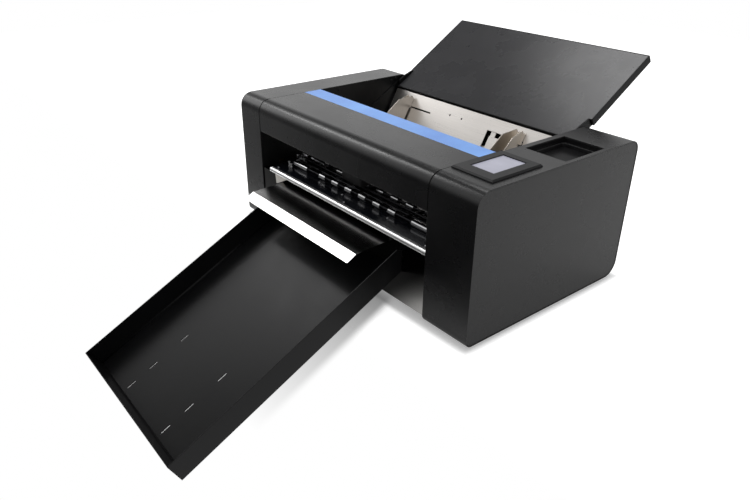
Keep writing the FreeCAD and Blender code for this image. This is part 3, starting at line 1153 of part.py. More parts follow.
LEFT_FIN, RIGHT_FIN = "guide_middle - guide_offset - 8", "guide_middle + guide_offset - 4"
for side, inner, outer in (("left", LEFT_FIN, f"{LEFT_FIN} - guide_channel"),
                           ("right", RIGHT_FIN, f"{RIGHT_FIN} + guide_channel")):
    low = inner if side == "right" else outer
    fins = [fin(f"{side}_fin_inner", inner, "1"), fin(f"{side}_fin_outer", outer, "0.66")]
    spare = " + 5" if side == "right" else ""
    base_high = box(f"{side}_base_high", (low, "-0.5 - guide_sheet", -35),
                    (f"guide_channel + guide_sheet{spare}", "guide_sheet", 23))
    base_low = box(f"{side}_base_low", (low, "-3.6 - guide_sheet", "guide_lift - window_bottom - 9"),
                   ("guide_channel + guide_sheet", "guide_sheet", "window_bottom + 9 - guide_lift - 32"))
    stem_x = "guide_slot_left + seat_gap" if side == "left" else "window_left + guide_travel + 27.3"
    stem = box(f"{side}_stem", (stem_x, "-0.5 - guide_sheet", "-slot_level - 1.4"),
               (3.4, f"{RACK_Y} + 0.5 + guide_sheet", 2.8))
    pieces = fins + [base_high, base_low, stem]
    first = size("guide_slot_left") + 0.3 if side == "left" else size("guide_middle") - 12
    last = size("guide_middle") + 12 if side == "left" else \
        size("window_left") + size("guide_travel") + 30.7
    bar = rack(f"{side}_rack", first - size("guide_middle"), last - size("guide_middle"),
               size("rack_module"), size("rack_body"), 0.15, size("rack_width"))
    pitch_line = "rack_module*pinion_teeth/2"
    if side == "left":
        place(bar, ("guide_middle", RACK_Y, f"-{PINION_Z} + {pitch_line}"))
        riser = box("left_link", (stem_x, RACK_Y, f"-{PINION_Z} + {pitch_line} + 2"),
                    (3.4, "rack_width", 8))
    else:
        bar.Shape = bar.Shape.mirror(Vector(), Vector(0, 0, 1))
        place(bar, ("guide_middle", RACK_Y, f"-{PINION_Z} - {pitch_line}"))
        riser = box("right_link", (stem_x, RACK_Y, f"-{PINION_Z} - {pitch_line} - 5"),
                    (3.4, "rack_width", f"{PINION_Z} + {pitch_line} + 5 - slot_level + 1.4"))
    part(f"{side}_guide", on_plate(fuse(f"{side}_guide_whole", *pieces, bar, riser)))

pinion = spur_gear("pinion_wheel", "y", int(size("pinion_teeth")), size("rack_module"), 0.15,
                   3 + size("running_gap"), size("rack_width"))
place(pinion, ("guide_middle", RACK_Y, f"-{PINION_Z}"))
part("guide_pinion", on_plate(group("pinion", pinion)))

# ---------------------------------------------------------------- pick-up shaft and its drive
GEAR_X = f"({LEFT} - 2*frame_thickness - 1 - gear_width)"
pick_parts = [rod("pickup_bar", "x", "shaft_radius", f"{RIGHT} + 3*frame_thickness - {GEAR_X} + 1",
                  (f"{GEAR_X} - 1", PICKUP_Y, PICKUP_LEVEL))]
for k, start in enumerate(("roller_centre - pickup_space/2 - pickup_width",
                           "roller_centre + pickup_space/2")):
    pick_parts.append(rod(f"pickup_roller_{k}", "x", "pickup_radius", "pickup_width",
                          (start, PICKUP_Y, PICKUP_LEVEL)))
wheel = spur_gear("pickup_wheel", "x", int(size("gear_teeth")), size("gear_module"), 0.12,
                  size("shaft_radius") - 0.5, size("gear_width"))
pick_parts.append(place(wheel, (GEAR_X, PICKUP_Y, PICKUP_LEVEL)))
part("pickup_shaft", fuse("pickup_whole", *pick_parts))

GEAR_DROP = "(gear_module*(gear_teeth + drive_teeth)/2)"
DRIVE_Z = f"({PICKUP_LEVEL} - {GEAR_DROP})"
MOTOR_FACE = f"({GEAR_X} - 3)"
pinion_bore = size("motor_shaft_radius") - 0.5
small = spur_gear("drive_wheel", "x", int(size("drive_teeth")), size("gear_module"), 0.12,
                  pinion_bore, size("gear_width"))
place(small, (GEAR_X, PICKUP_Y, DRIVE_Z), ("x", "180/drive_teeth"))
small_rod = rod("drive_stub", "x", "motor_shaft_radius",
                f"{GEAR_X} + gear_width - {MOTOR_FACE} + motor_shaft_depth - 1",
                (f"{MOTOR_FACE} - motor_shaft_depth + 1", PICKUP_Y, DRIVE_Z))
part("pickup_pinion", fuse("drive_pinion", small, small_rod))

MOTOR_LOW = f"{DRIVE_Z} - motor_size/2"
ears = [box(f"pickup_ear_{k}", (f"{MOTOR_FACE} - frame_thickness", f"{PICKUP_Y} {offset}", MOTOR_LOW),
            (f"{LEFT} - {MOTOR_FACE}", "frame_thickness", "motor_size/2 + 1"))
        for k, offset in enumerate(("- motor_size/2 - frame_thickness", "+ motor_size/2"))]
part("pickup_motor",
     stepper("pickup", (f"{MOTOR_FACE} - motor_length", f"{PICKUP_Y} - motor_size/2", MOTOR_LOW),
             ("motor_length", "motor_size", "motor_size"), "x",
             (f"{MOTOR_FACE} - motor_shaft_depth", PICKUP_Y, DRIVE_Z), *ears))

# ---------------------------------------------------------------- electronics on the base pan
supply = box("supply_box", (f"{LEFT} + supply_inset", back("electronics_back"), "frame_thickness"),
             ("supply_length", "supply_width", "supply_height"))
part("power_supply", supply)
BOARD_X, BOARD_Y = f"({RIGHT} - board_length - board_inset)", back("electronics_back")
pieces = [box("board_sheet", (BOARD_X, BOARD_Y, "frame_thickness + standoff_height"),
              ("board_length", "board_width", "board_thickness"))]
for k, (x, y) in enumerate(((6, 6), (-6, 6), (6, -6), (-6, -6))):
    across = f"{x}" if x > 0 else f"board_length - {-x}"
    along = f"{y}" if y > 0 else f"board_width - {-y}"
    pieces.append(rod(f"standoff_{k}", "z", 4, "standoff_height",
                      (f"{BOARD_X} + {across}", f"{BOARD_Y} + {along}", "frame_thickness")))
for k, (x, y, w, d, h) in enumerate(((30, 30, 32, 32, 6), (90, 20, 24, 24, 14),
                                     (140, 60, 18, 40, 12))):
    pieces.append(box(f"chip_{k}", (f"{BOARD_X} + {x}", f"{BOARD_Y} + {y}",
                                    "frame_thickness + standoff_height + board_thickness"),
                      (w, d, h)))
part("main_board", fuse("board", *pieces))

# ---------------------------------------------------------------- lid, drawn closed from its hinge
LID_LEFT = f"({LEFT} + lid_side_gap + 0.5*seam_gap)"
LID_WIDTH = f"({BAY} - 2*lid_side_gap)"
LID_FRONT = f"(-body_depth/2 + {BAR_REAR} + seam_gap - {HINGE_Y})"
LID_DEPTH = f"(lid_tail - {LID_FRONT})"
LID_LOW = "(hinge_drop - lid_thickness)"


def on_lid(obj):
    """Swing a piece drawn on the closed lid open about the hinge."""
    return place(obj, (0, HINGE_Y, HINGE_Z), ("-x", "lid_open_angle"))


shell = box("lid_shell", (LID_LEFT, LID_FRONT, LID_LOW), (LID_WIDTH, LID_DEPTH, "lid_thickness"))
shell_room = box("lid_room", (f"{LID_LEFT} + skin_thickness", f"{LID_FRONT} + skin_thickness",
                              f"{LID_LOW} - 1"),
                 (f"{LID_WIDTH} - 2*skin_thickness", f"{LID_DEPTH} - 2*skin_thickness",
                  "lid_thickness - skin_thickness + 1"))
reliefs = [box(f"lid_relief_{k}", (x, "-lid_relief_length", f"{LID_LOW} - 1"),
               ("lid_relief + 1", "lid_relief_length + lid_tail + 1", "lid_thickness + 2"))
           for k, x in enumerate((f"{LID_LEFT} - 1", f"{LID_LEFT} + {LID_WIDTH} - lid_relief"))]
part("lid_outer", on_lid(cut("lid_skin", shell, shell_room, *reliefs)))
panel = box("lid_panel", (f"{LID_LEFT} + skin_thickness + seat_gap",
                          f"{LID_FRONT} + skin_thickness + seat_gap", LID_LOW),
            (f"{LID_WIDTH} - 2*skin_thickness - 2*seat_gap",
             f"{LID_DEPTH} - 2*skin_thickness - 2*seat_gap", "lid_thickness - skin_thickness"))
panel_room = box("lid_panel_room", (f"{LID_LEFT} + skin_thickness + seat_gap + lid_inner_sheet",
                                    f"{LID_FRONT} + skin_thickness + seat_gap + lid_inner_sheet",
                                    f"{LID_LOW} + lid_inner_sheet"),
                 (f"{LID_WIDTH} - 2*(skin_thickness + seat_gap + lid_inner_sheet)",
                  f"{LID_DEPTH} - 2*(skin_thickness + seat_gap + lid_inner_sheet)", "lid_thickness"))
notch_width = "(lid_relief + hinge_arm_width + 1)"
notches = [box(f"lid_notch_{k}", (x, "-lid_relief_length", f"{LID_LOW} - 1"),
               (notch_width, "lid_relief_length + lid_tail", "lid_thickness + 1"))
           for k, x in enumerate((LID_LEFT, f"{LID_LEFT} + {LID_WIDTH} - {notch_width}"))]
part("lid_inner", on_lid(cut("lid_lining", panel, panel_room, *notches)))
hinge_arms = []
for side, start in (("left", f"{LID_LEFT} + lid_relief"),
                    ("right", f"{LID_LEFT} + {LID_WIDTH} - lid_relief - hinge_arm_width")):
    blank = prism(f"{side}_arm_blank", "yz",
                  [("hinge_arm_height/2 - 1", "-hinge_arm_height/2 + 1"),
                   ("hinge_arm_height/2 - 1", "hinge_drop - skin_thickness"),
                   ("-hinge_arm_length", "hinge_drop - skin_thickness"),
                   ("-hinge_arm_length", f"{LID_LOW} - 2"),
                   ("-hinge_arm_height/2", "-hinge_arm_height/2 + 1")],
                  "hinge_arm_width", start, [((0,), "hinge_arm_height/2 - 2"), ((3,), "1.5")])
    bore = rod(f"{side}_arm_bore", "x", "hinge_pin_radius + running_gap", "3*hinge_arm_width",
               (f"{start} - hinge_arm_width", 0, 0))
    hinge_arms.append(cut(f"{side}_arm", blank, bore))
part("lid_hinge_arms", on_lid(group("arms", *hinge_arms)))

# ---------------------------------------------------------------- output tray, drawn level from its pins
DROP = ("(tray_pivot_back*sin(tray_slope) + (tray_floor_height - tray_pivot_height)"
        "*cos(tray_slope))")
FOOT = ("(-tray_pivot_back*cos(tray_slope) + (tray_floor_height - tray_pivot_height)"
        "*sin(tray_slope))")
TIP = f"({FOOT} - tray_length)"
TRAY_LEFT = "(tray_centre - tray_width/2)"
EDGE = "(tray_pivot_back - tray_stop)"


def behind(height):
    """Where the tray's upright rear edge lies at a height above its pins."""
    return f"(({height})*tan(tray_slope) - {EDGE}/cos(tray_slope))"


floor = prism("tray_floor", "yz",
              [(TIP, f"{DROP} - tray_sheet"), (behind(f"{DROP} - tray_sheet"), f"{DROP} - tray_sheet"),
               (behind(DROP), DROP), (TIP, DROP)], "tray_width", TRAY_LEFT)
walls = []
for side, start in (("left", TRAY_LEFT), ("right", f"{TRAY_LEFT} + tray_width - tray_sheet")):
    top = f"({DROP} + tray_wall)"
    if side == "left":
        low = f"({DROP} + tray_low_wall)"
        crown = [(behind(low), low), (f"{FOOT} - tray_low_length", low),
                 (f"{FOOT} - tray_low_length - tray_wall + tray_low_wall", top)]
    else:
        crown = [(behind(f"{top} - tray_corner - 3"), f"{top} - tray_corner - 3"),
                 (f"{behind(top)} - 2*tray_corner", top)]
    walls.append(prism(f"{side}_tray_wall", "yz",
                       [(TIP, f"{DROP} - tray_sheet"),
                        (behind(f"{DROP} - tray_sheet"), f"{DROP} - tray_sheet"), *crown,
                        (TIP, f"{DROP} + tray_tip_wall")],
                       "tray_sheet", start))
    walls.append(rod(f"{side}_tray_eye", "x", "eye_radius", "tray_sheet", (start, 0, 0)))
    walls.append(box(f"{side}_tray_tongue", (start, -18, "-eye_radius"),
                     ("tray_sheet", 18, "2*eye_radius")))
eyes = rod("tray_bore", "x", "hook_pin_radius + running_gap", "tray_width + 2",
           (f"{TRAY_LEFT} - 1", 0, 0))
cuts = [eyes]
for k, along in enumerate((448, 399.5, 329)):
    for side, sign in (("left", "-"), ("right", "+")):
        cuts.append(box(f"tray_slot_{side}_{k}",
                        (f"tray_centre {sign} tray_slot_offset - tray_slot_width/2",
                         f"{FOOT} - {along}*tray_length/473 - tray_slot_length/2",
                         f"{DROP} - 2*tray_sheet"),
                        ("tray_slot_width", "tray_slot_length", "4*tray_sheet")))
tray = cut("tray_cut", fuse("tray_whole", floor, *walls), *cuts)
part("output_tray", place(tray, (0, TRAY_PIN_Y, "tray_pivot_height"), ("x", "tray_slope")))

# ---------------------------------------------------------------- check and write
doc.recompute()
faulty = [obj.Label for obj in doc.Objects
          if {"Invalid", "Error"} & set(obj.State) or
          (hasattr(obj, "Shape") and (obj.Shape.isNull() or not obj.Shape.isValid()))]
if faulty:
    raise SystemExit("faulty: " + ", ".join(faulty))
os.makedirs("parts", exist_ok=True)
for node, obj in PARTS.items():
    obj.Shape.exportStep(f"parts/{node}.step")
    print(f"{node:24} {len(obj.Shape.Solids)} solids {obj.Shape.Volume / 1000:10.1f} cm3")
print(len(PARTS), "nodes")
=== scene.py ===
"""Looks of a desktop card cutter: finishes for its solids, and the small parts fitted to them."""

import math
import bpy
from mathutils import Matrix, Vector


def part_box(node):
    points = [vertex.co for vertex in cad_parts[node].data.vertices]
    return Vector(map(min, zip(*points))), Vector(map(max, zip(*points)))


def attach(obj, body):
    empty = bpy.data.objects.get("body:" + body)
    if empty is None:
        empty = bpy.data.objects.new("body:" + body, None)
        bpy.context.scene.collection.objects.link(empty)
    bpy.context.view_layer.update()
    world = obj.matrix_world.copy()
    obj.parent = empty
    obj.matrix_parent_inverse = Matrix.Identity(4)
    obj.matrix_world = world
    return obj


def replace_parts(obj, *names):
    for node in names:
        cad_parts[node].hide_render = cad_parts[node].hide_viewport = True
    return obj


bl_info = {
    "name": "Desktop Card Cutter",
    "version": (1, 0, 0),
    "blender": (4, 5, 0),
    "location": "3D View > Sidebar > Cutter",
    "description": "Finishes, fittings and studio for a sheet-fed card cutter",
    "category": "Object",
}

import bmesh
import bpy
from mathutils import Matrix, Vector

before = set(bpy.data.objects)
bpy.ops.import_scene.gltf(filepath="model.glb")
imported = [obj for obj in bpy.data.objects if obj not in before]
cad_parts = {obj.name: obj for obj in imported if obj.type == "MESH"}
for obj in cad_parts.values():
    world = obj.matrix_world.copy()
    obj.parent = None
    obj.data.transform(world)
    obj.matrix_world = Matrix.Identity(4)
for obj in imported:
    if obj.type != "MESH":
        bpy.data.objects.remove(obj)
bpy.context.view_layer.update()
MM = 0.001
TRAY_SLOPE = math.radians(26.5)
INLET = (-150.0, 60.0)      # middle of the mains inlet along X and Z, in millimetres


# ---------------------------------------------------------------- settings
class FinishSettings(bpy.types.PropertyGroup):
    """Colours and surface qualities that a user would change."""
    coat_colour: bpy.props.FloatVectorProperty(
        name="Powder coat", description="Black coat of the covers", subtype="COLOR",
        size=3, min=0, max=1, default=(0.006, 0.006, 0.0065))
    coat_roughness: bpy.props.FloatProperty(
        name="Coat roughness", description="Satin of the covers", default=0.27, min=0, max=1)
    strip_colour: bpy.props.FloatVectorProperty(
        name="Trim strip", description="Painted strip behind the hood", subtype="COLOR",
        size=3, min=0, max=1, default=(0.2, 0.41, 1.0))
    hopper_colour: bpy.props.FloatVectorProperty(
        name="Hopper steel", description="Brushed plate of the hopper", subtype="COLOR",
        size=3, min=0, max=1, default=(0.66, 0.63, 0.6))
    screen_colour: bpy.props.FloatVectorProperty(
        name="Screen", description="Lit face of the display", subtype="COLOR",
        size=3, min=0, max=1, default=(0.26, 0.26, 0.31))
    edge_radius: bpy.props.FloatProperty(
        name="Edge radius", description="Softness of the sheet edges", unit="LENGTH",
        default=0.0011, min=0, max=0.005)


class FittingSettings(bpy.types.PropertyGroup):
    """Sizes of the small parts."""
    screw_radius: bpy.props.FloatProperty(
        name="Screw head radius", description="Pan-head screws of the covers", unit="LENGTH",
        default=0.0034, min=0.001, max=0.01)
    screw_height: bpy.props.FloatProperty(
        name="Screw head height", description="Height of a pan head", unit="LENGTH",
        default=0.0018, min=0.0005, max=0.005)


class StageSettings(bpy.types.PropertyGroup):
    """Lamps, bench and camera."""
    side_power: bpy.props.FloatProperty(
        name="Side softbox", description="Softbox in front of the left side", subtype="POWER",
        default=9.0, min=0)
    strip_power: bpy.props.FloatProperty(
        name="Strip softbox", description="Narrow softbox high on the left", subtype="POWER",
        default=6.0, min=0)
    top_power: bpy.props.FloatProperty(
        name="Top softbox", description="Small softbox above the lid", subtype="POWER",
        default=8.2, min=0)
    room_power: bpy.props.FloatProperty(
        name="Ceiling lamp", description="Broad lamp straight above", subtype="POWER",
        default=9.6, min=0)
    daylight: bpy.props.FloatProperty(
        name="Daylight", description="Even light from all round", default=0.5, min=0, max=2)
    lens: bpy.props.FloatProperty(
        name="Lens", description="Focal length on a 36 mm sensor, in millimetres",
        default=32.669, min=10, max=200)


def finish_settings():
    """Colours and surface qualities set in this scene."""
    return bpy.context.scene.cutter_finish


# ---------------------------------------------------------------- material helpers
def new_material(name):
    """A material with its shader, its output and the object's own coordinates."""
    material = bpy.data.materials.new(name)
    material.use_nodes = True
    nodes = material.node_tree.nodes
    shader = nodes["Principled BSDF"]
    place = nodes.new("ShaderNodeTexCoord")
    return material, nodes, material.node_tree.links, shader, place


def stretched(nodes, links, place, scale):
    """The object's own coordinates, scaled along each axis."""
    mapping = nodes.new("ShaderNodeMapping")
    mapping.inputs["Scale"].default_value = scale
    links.new(place.outputs["Object"], mapping.inputs["Vector"])
    return mapping.outputs["Vector"]


def noise(nodes, links, vector, scale, detail=4.0, rough=0.55):
    """Layered noise over a vector, from nought to one."""
    node = nodes.new("ShaderNodeTexNoise")
    node.inputs["Scale"].default_value = scale
    node.inputs["Detail"].default_value = detail
    node.inputs["Roughness"].default_value = rough
    links.new(vector, node.inputs["Vector"])
    return node.outputs["Fac"]


def ramp(nodes, links, value, low, high, start=0.3, end=0.7):
    """A colour that goes from low to high as a value rises."""
    node = nodes.new("ShaderNodeValToRGB")
    node.color_ramp.elements[0].position = start
    node.color_ramp.elements[1].position = end
    node.color_ramp.elements[0].color = (*low, 1)
    node.color_ramp.elements[1].color = (*high, 1)
    links.new(value, node.inputs["Fac"])
    return node.outputs["Color"]


def spread(nodes, links, value, low, high):
    """A number between low and high, by the middle half of a value's range."""
    node = nodes.new("ShaderNodeMapRange")
    node.inputs["From Min"].default_value = 0.25
    node.inputs["From Max"].default_value = 0.75
    node.inputs["To Min"].default_value = low
    node.inputs["To Max"].default_value = high
    links.new(value, node.inputs["Value"])
    return node.outputs["Result"]


def relief(nodes, links, shader, height, strength, distance, edge):
    """Bump from a height, over edges softened by a radius."""
    bump = nodes.new("ShaderNodeBump")
    bump.inputs["Strength"].default_value = strength
    bump.inputs["Distance"].default_value = distance
    links.new(height, bump.inputs["Height"])
    if edge:
        bevel = nodes.new("ShaderNodeBevel")
        bevel.samples = 4
        bevel.inputs["Radius"].default_value = edge
        links.new(bevel.outputs["Normal"], bump.inputs["Normal"])
    links.new(bump.outputs["Normal"], shader.inputs["Normal"])


def scaled(colour, factor):
    """A colour made lighter or darker by a factor."""
    return tuple(min(1.0, c * factor) for c in colour)


def powder_coat(name, colour, rough, specular=0.5, grain=2600.0, depth=0.00006, cloudy=0.18):
    """Satin powder coat: a fine orange peel with faint clouding."""
    material, nodes, links, shader, place = new_material(name)
    vector = place.outputs["Object"]
    fine = noise(nodes, links, vector, grain, 3.0)
    cloud = noise(nodes, links, vector, 14.0, 5.0)
    links.new(ramp(nodes, links, cloud, scaled(colour, 1 - cloudy), scaled(colour, 1 + cloudy)),
              shader.inputs["Base Color"])
    links.new(spread(nodes, links, cloud, rough - 0.03, rough + 0.04),
              shader.inputs["Roughness"])
    shader.inputs["Specular IOR Level"].default_value = specular
    relief(nodes, links, shader, fine, 0.2, depth, finish_settings().edge_radius)
    return material


def brushed_metal(name, colour, rough, along, depth=0.00003, stroke=900.0, wear=0.12):
    """Brushed sheet: long scratches along one axis and a slow change of tone."""
    material, nodes, links, shader, place = new_material(name)
    scale = tuple(6.0 if axis == along else stroke for axis in "xyz")
    streaks = noise(nodes, links, stretched(nodes, links, place, scale), 1.0, 6.0, 0.7)
    cloud = noise(nodes, links, place.outputs["Object"], 7.0, 3.0)
    tone = nodes.new("ShaderNodeMix")
    tone.data_type = "RGBA"
    tone.inputs["Factor"].default_value = 0.5
    links.new(ramp(nodes, links, streaks, scaled(colour, 1 - wear), scaled(colour, 1 + wear)),
              tone.inputs["A"])
    links.new(ramp(nodes, links, cloud, scaled(colour, 0.9), scaled(colour, 1.12)),
              tone.inputs["B"])
    links.new(tone.outputs["Result"], shader.inputs["Base Color"])
    links.new(spread(nodes, links, streaks, rough - 0.06, rough + 0.08),
              shader.inputs["Roughness"])
    shader.inputs["Metallic"].default_value = 1.0
    relief(nodes, links, shader, streaks, 0.25, depth, finish_settings().edge_radius)
    return material


def painted_shade_along(material, line, start, end, share):
    """Paint shade into a finish: its colour darkens to a share over the piece, from start to end
    along a line, in metres.
    """
    nodes, links = material.node_tree.nodes, material.node_tree.links
    shader = nodes["Principled BSDF"]
    place = nodes.new("ShaderNodeTexCoord")
    along = nodes.new("ShaderNodeVectorMath")
    along.operation = "DOT_PRODUCT"
    along.inputs[1].default_value = line
    links.new(place.outputs["Object"], along.inputs[0])
    fade = nodes.new("ShaderNodeMapRange")
    fade.interpolation_type = "SMOOTHSTEP"
    fade.inputs["From Min"].default_value = start
    fade.inputs["From Max"].default_value = end
    fade.inputs["To Min"].default_value = 1.0
    fade.inputs["To Max"].default_value = share
    links.new(along.outputs["Value"], fade.inputs["Value"])
    tone = nodes.new("ShaderNodeVectorMath")
    tone.operation = "SCALE"
    links.new(shader.inputs["Base Color"].links[0].from_socket, tone.inputs[0])
    links.new(fade.outputs["Result"], tone.inputs["Scale"])
    links.new(tone.outputs["Vector"], shader.inputs["Base Color"])
    return material


def moulded(name, colour, rough, grain=900.0, depth=0.00005, specular=0.5):
    """Moulded plastic or rubber with a fine spark-eroded grain."""
    material, nodes, links, shader, place = new_material(name)
    fine = noise(nodes, links, place.outputs["Object"], grain, 2.0)
    links.new(ramp(nodes, links, fine, scaled(colour, 0.8), scaled(colour, 1.25)),
              shader.inputs["Base Color"])
    links.new(spread(nodes, links, fine, rough - 0.05, rough + 0.05), shader.inputs["Roughness"])
    shader.inputs["Specular IOR Level"].default_value = specular
    relief(nodes, links, shader, fine, 0.3, depth, 0.0)
    return material


def display_glass(name, colour):
    """Display under glass: a soft glow with a slow fall across it."""
    material, nodes, links, shader, place = new_material(name)
    cloud = noise(nodes, links, place.outputs["Object"], 18.0, 2.0)
    tint = ramp(nodes, links, cloud, scaled(colour, 0.9), scaled(colour, 1.1))
    links.new(tint, shader.inputs["Base Color"])
    links.new(spread(nodes, links, cloud, 0.2, 0.28), shader.inputs["Roughness"])
    links.new(tint, shader.inputs["Emission Color"])
    shader.inputs["Emission Strength"].default_value = 0.7
    shader.inputs["Specular IOR Level"].default_value = 0.3
    return material


def make_finishes():
    """Every finish of the machine, by name."""
    s = finish_settings()
    coat, rough = tuple(s.coat_colour), s.coat_roughness
    return {
        "coat": powder_coat("powder_coat_black", coat, rough),
        "coat_tray": powder_coat("powder_coat_tray", scaled(coat, 0.8), rough + 0.06, 0.17,
                                 1500.0, 0.0001),
        "coat_matt": powder_coat("powder_coat_matt", scaled(coat, 0.9), rough + 0.15, 0.15),
        # painted light: the lid's inner face gets the black coat made five times lighter, standing
        # in for the light that falls on it
        "coat_lid_painted_light": powder_coat("powder_coat_lid_painted_light", scaled(coat, 5.0), rough, cloudy=0.05),
        "coat_inner": powder_coat("powder_coat_inside", scaled(coat, 0.8), rough + 0.15, 0.35),
        "strip": powder_coat("painted_strip", tuple(s.strip_colour), 0.4, 0.45),
        "hopper": brushed_metal("hopper_steel", tuple(s.hopper_colour), 0.3, "x"),
        # painted shade: the lower front panel's colour darkens towards its upper left, standing in
        # for the tray's shadow and dark reflection
        "panel": painted_shade_along(brushed_metal("panel_steel", (0.66, 0.65, 0.63), 0.13, "x"), (-1, 0, 1.2),
                          -0.225, -0.12, 0.06),
        "guide": brushed_metal("guide_steel", (0.7, 0.65, 0.59), 0.34, "z"),
        # painted shade: the exit deflector's colour darkens from the lip towards its rear and a
        # little towards the right, under the nose bar
        "mirror": painted_shade_along(brushed_metal("polished_steel", (0.88, 0.87, 0.86), 0.2, "x", 0.00001,
                                         700.0, 0.05), (0.066, 1, 0), -0.272, -0.246, 0.1),
        "satin": brushed_metal("satin_aluminium", (0.93, 0.93, 0.93), 0.34, "x", 0.00001, 700.0,
                               0.03),
        "gloss": powder_coat("gloss_platen", (0.008, 0.009, 0.013), 0.16, 0.6, 1400.0, 0.00002),
        "silver": brushed_metal("turned_aluminium", (0.84, 0.84, 0.85), 0.2, "y"),
        "chrome": brushed_metal("bright_plate", (0.8, 0.8, 0.82), 0.12, "z", 0.00001, 500.0,
                                0.05),
        "ground": brushed_metal("ground_steel", (0.5, 0.5, 0.52), 0.28, "x"),
        "blued": brushed_metal("blued_steel", (0.05, 0.05, 0.055), 0.25, "x"),
        "dull": brushed_metal("zinc_plate", (0.3, 0.31, 0.33), 0.4, "x"),
        "plastic": moulded("moulded_black", scaled(coat, 1.3), 0.42),
        "bezel": moulded("bezel_plastic", scaled(coat, 1.5), 0.45, 1500.0, specular=0.35),
        "rubber": moulded("rubber_black", (0.01, 0.01, 0.01), 0.7, 500.0),
        # painted shade: near-black finish of the strips that stand in for the shade deep in the
        # seams between hood and pods
        "seam_shade_finish": moulded("seam_shade_black", (0.003, 0.003, 0.003), 0.8, 500.0, specular=0.1),
        "screen": display_glass("display_glass", tuple(s.screen_colour)),
        "pale": moulded("pale_plastic", (0.66, 0.63, 0.58), 0.4),
        "white": moulded("white_mark", (0.75, 0.75, 0.75), 0.5),
        "bronze": brushed_metal("sintered_bronze", (0.09, 0.065, 0.04), 0.4, "y"),
        "board": moulded("solder_mask", (0.02, 0.12, 0.05), 0.35),
    }


NODE_FINISH = {
    "coat": ["left_pod_wrap", "right_pod_wrap", "side_panels", "front_hood",
             "storage_tray", "rear_panel", "base_pan", "top_crossbar"],
    "coat_inner": ["left_side_frame", "right_side_frame", "carriage_beam", "hopper_cheeks",
                   "carriage_motor", "feed_motor", "pickup_motor", "platen_support"],
    "coat_matt": ["lid_outer", "lid_hinge_arms"],
    "coat_lid_painted_light": ["lid_inner"],
    "coat_tray": ["output_tray"],
    "strip": ["trim_strip"],
    "hopper": ["hopper_plate", "lift_plate", "feed_chute"],
    "panel": ["lower_front_panel"],
    "guide": ["left_guide", "right_guide"],
    "chrome": ["pinch_brackets", "front_pinch_rollers", "rear_pinch_rollers"],
    "mirror": ["exit_deflector"],
    "gloss": ["platen"],
    "silver": ["platen_nose", "feed_motor_pulley", "belt_drive_pulley", "belt_idler_pulley",
               "tool_holder", "guide_pinion", "pickup_pinion"],
    "ground": ["guide_rail", "cutting_blade"],
    "blued": ["front_feed_shaft", "rear_feed_shaft", "front_pinch_rocker", "rear_pinch_rocker",
              "carriage_block"],
    "dull": ["power_supply"],
    "plastic": ["carriage_cover", "power_inlet", "power_switch", "cutting_strip"],
    "bezel": ["screen_bezel"],
    "rubber": ["rubber_feet", "carriage_belt", "feed_belt", "pickup_shaft"],
    "screen": ["touch_screen"],
    "bronze": ["shaft_bearings"],
    "board": ["main_board"],
}
FINISHES = {}


def dress(obj, finish, smooth=False):
    """Give a piece one finish all over, and smooth shading where asked."""
    obj.data.materials.clear()
    obj.data.materials.append(FINISHES[finish])
    if smooth:
        for face in obj.data.polygons:
            face.use_smooth = True


# ---------------------------------------------------------------- mesh helpers
def mesh_object(name, bm, finish, body, smooth=False):
    """Turn mesh code's result into a finished piece on its body."""
    bmesh.ops.recalc_face_normals(bm, faces=bm.faces)
    mesh = bpy.data.meshes.new(name)
    bm.to_mesh(mesh)
    bm.free()
    obj = bpy.data.objects.new(name, mesh)
    bpy.context.scene.collection.objects.link(obj)
    dress(obj, finish, smooth)
    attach(obj, body)
    return obj


def bevelled(obj, width, segments=2):
    """Round a piece's sharp edges by a width, in metres."""
    bevel = obj.modifiers.new("edge", "BEVEL")
    bevel.width = width
    bevel.segments = segments
    bevel.limit_method = "ANGLE"
    return obj


def part_y(distance):
    """Y of a place at a distance behind the front plane, all in millimetres."""
    return distance - 202.0


def extrude_outline(bm, points, direction):
    """A closed solid from a planar outline, in millimetres."""
    low = [bm.verts.new(Vector(p) * MM) for p in points]
    high = [bm.verts.new((Vector(p) + Vector(direction)) * MM) for p in points]
    bm.faces.new(low)
    bm.faces.new(reversed(high))
    for k in range(len(points)):
        n = (k + 1) % len(points)
        bm.faces.new((low[k], high[k], high[n], low[n]))


def lathe(bm, profile, place, axis=(0, 0, 1), sides=32):
    """A turned solid from (radius, height) pairs in millimetres, round an axis at a place."""
    turn = Vector((0, 0, 1)).rotation_difference(Vector(axis).normalized())
    rings = [[bm.verts.new((Vector(place) + turn @ Vector((
        radius * math.cos(2 * math.pi * k / sides), radius * math.sin(2 * math.pi * k / sides),
        height))) * MM) for k in range(sides)] for radius, height in profile]
    for low, high in zip(rings, rings[1:]):
        for k in range(sides):
            n = (k + 1) % sides
            bm.faces.new((low[k], low[n], high[n], high[k]))
    bm.faces.new(reversed(rings[0]))
    bm.faces.new(rings[-1])


def tube(bm, points, radius, sides=8):
    """A round wire through points in millimetres, closed at both ends."""
    points = [Vector(p) for p in points]
    across, rings = None, []
    for k, point in enumerate(points):
        ahead = (points[min(k + 1, len(points) - 1)] - points[max(k - 1, 0)]).normalized()
        side = across or ahead.orthogonal()
        across = (side - ahead * side.dot(ahead)).normalized()
        third = ahead.cross(across)
        rings.append([bm.verts.new((point + radius * (
            across * math.cos(2 * math.pi * j / sides) + third * math.sin(2 * math.pi * j / sides)
        )) * MM) for j in range(sides)])
    for low, high in zip(rings, rings[1:]):
        for j in range(sides):
            n = (j + 1) % sides
            bm.faces.new((low[j], low[n], high[n], high[j]))
    bm.faces.new(reversed(rings[0]))
    bm.faces.new(rings[-1])


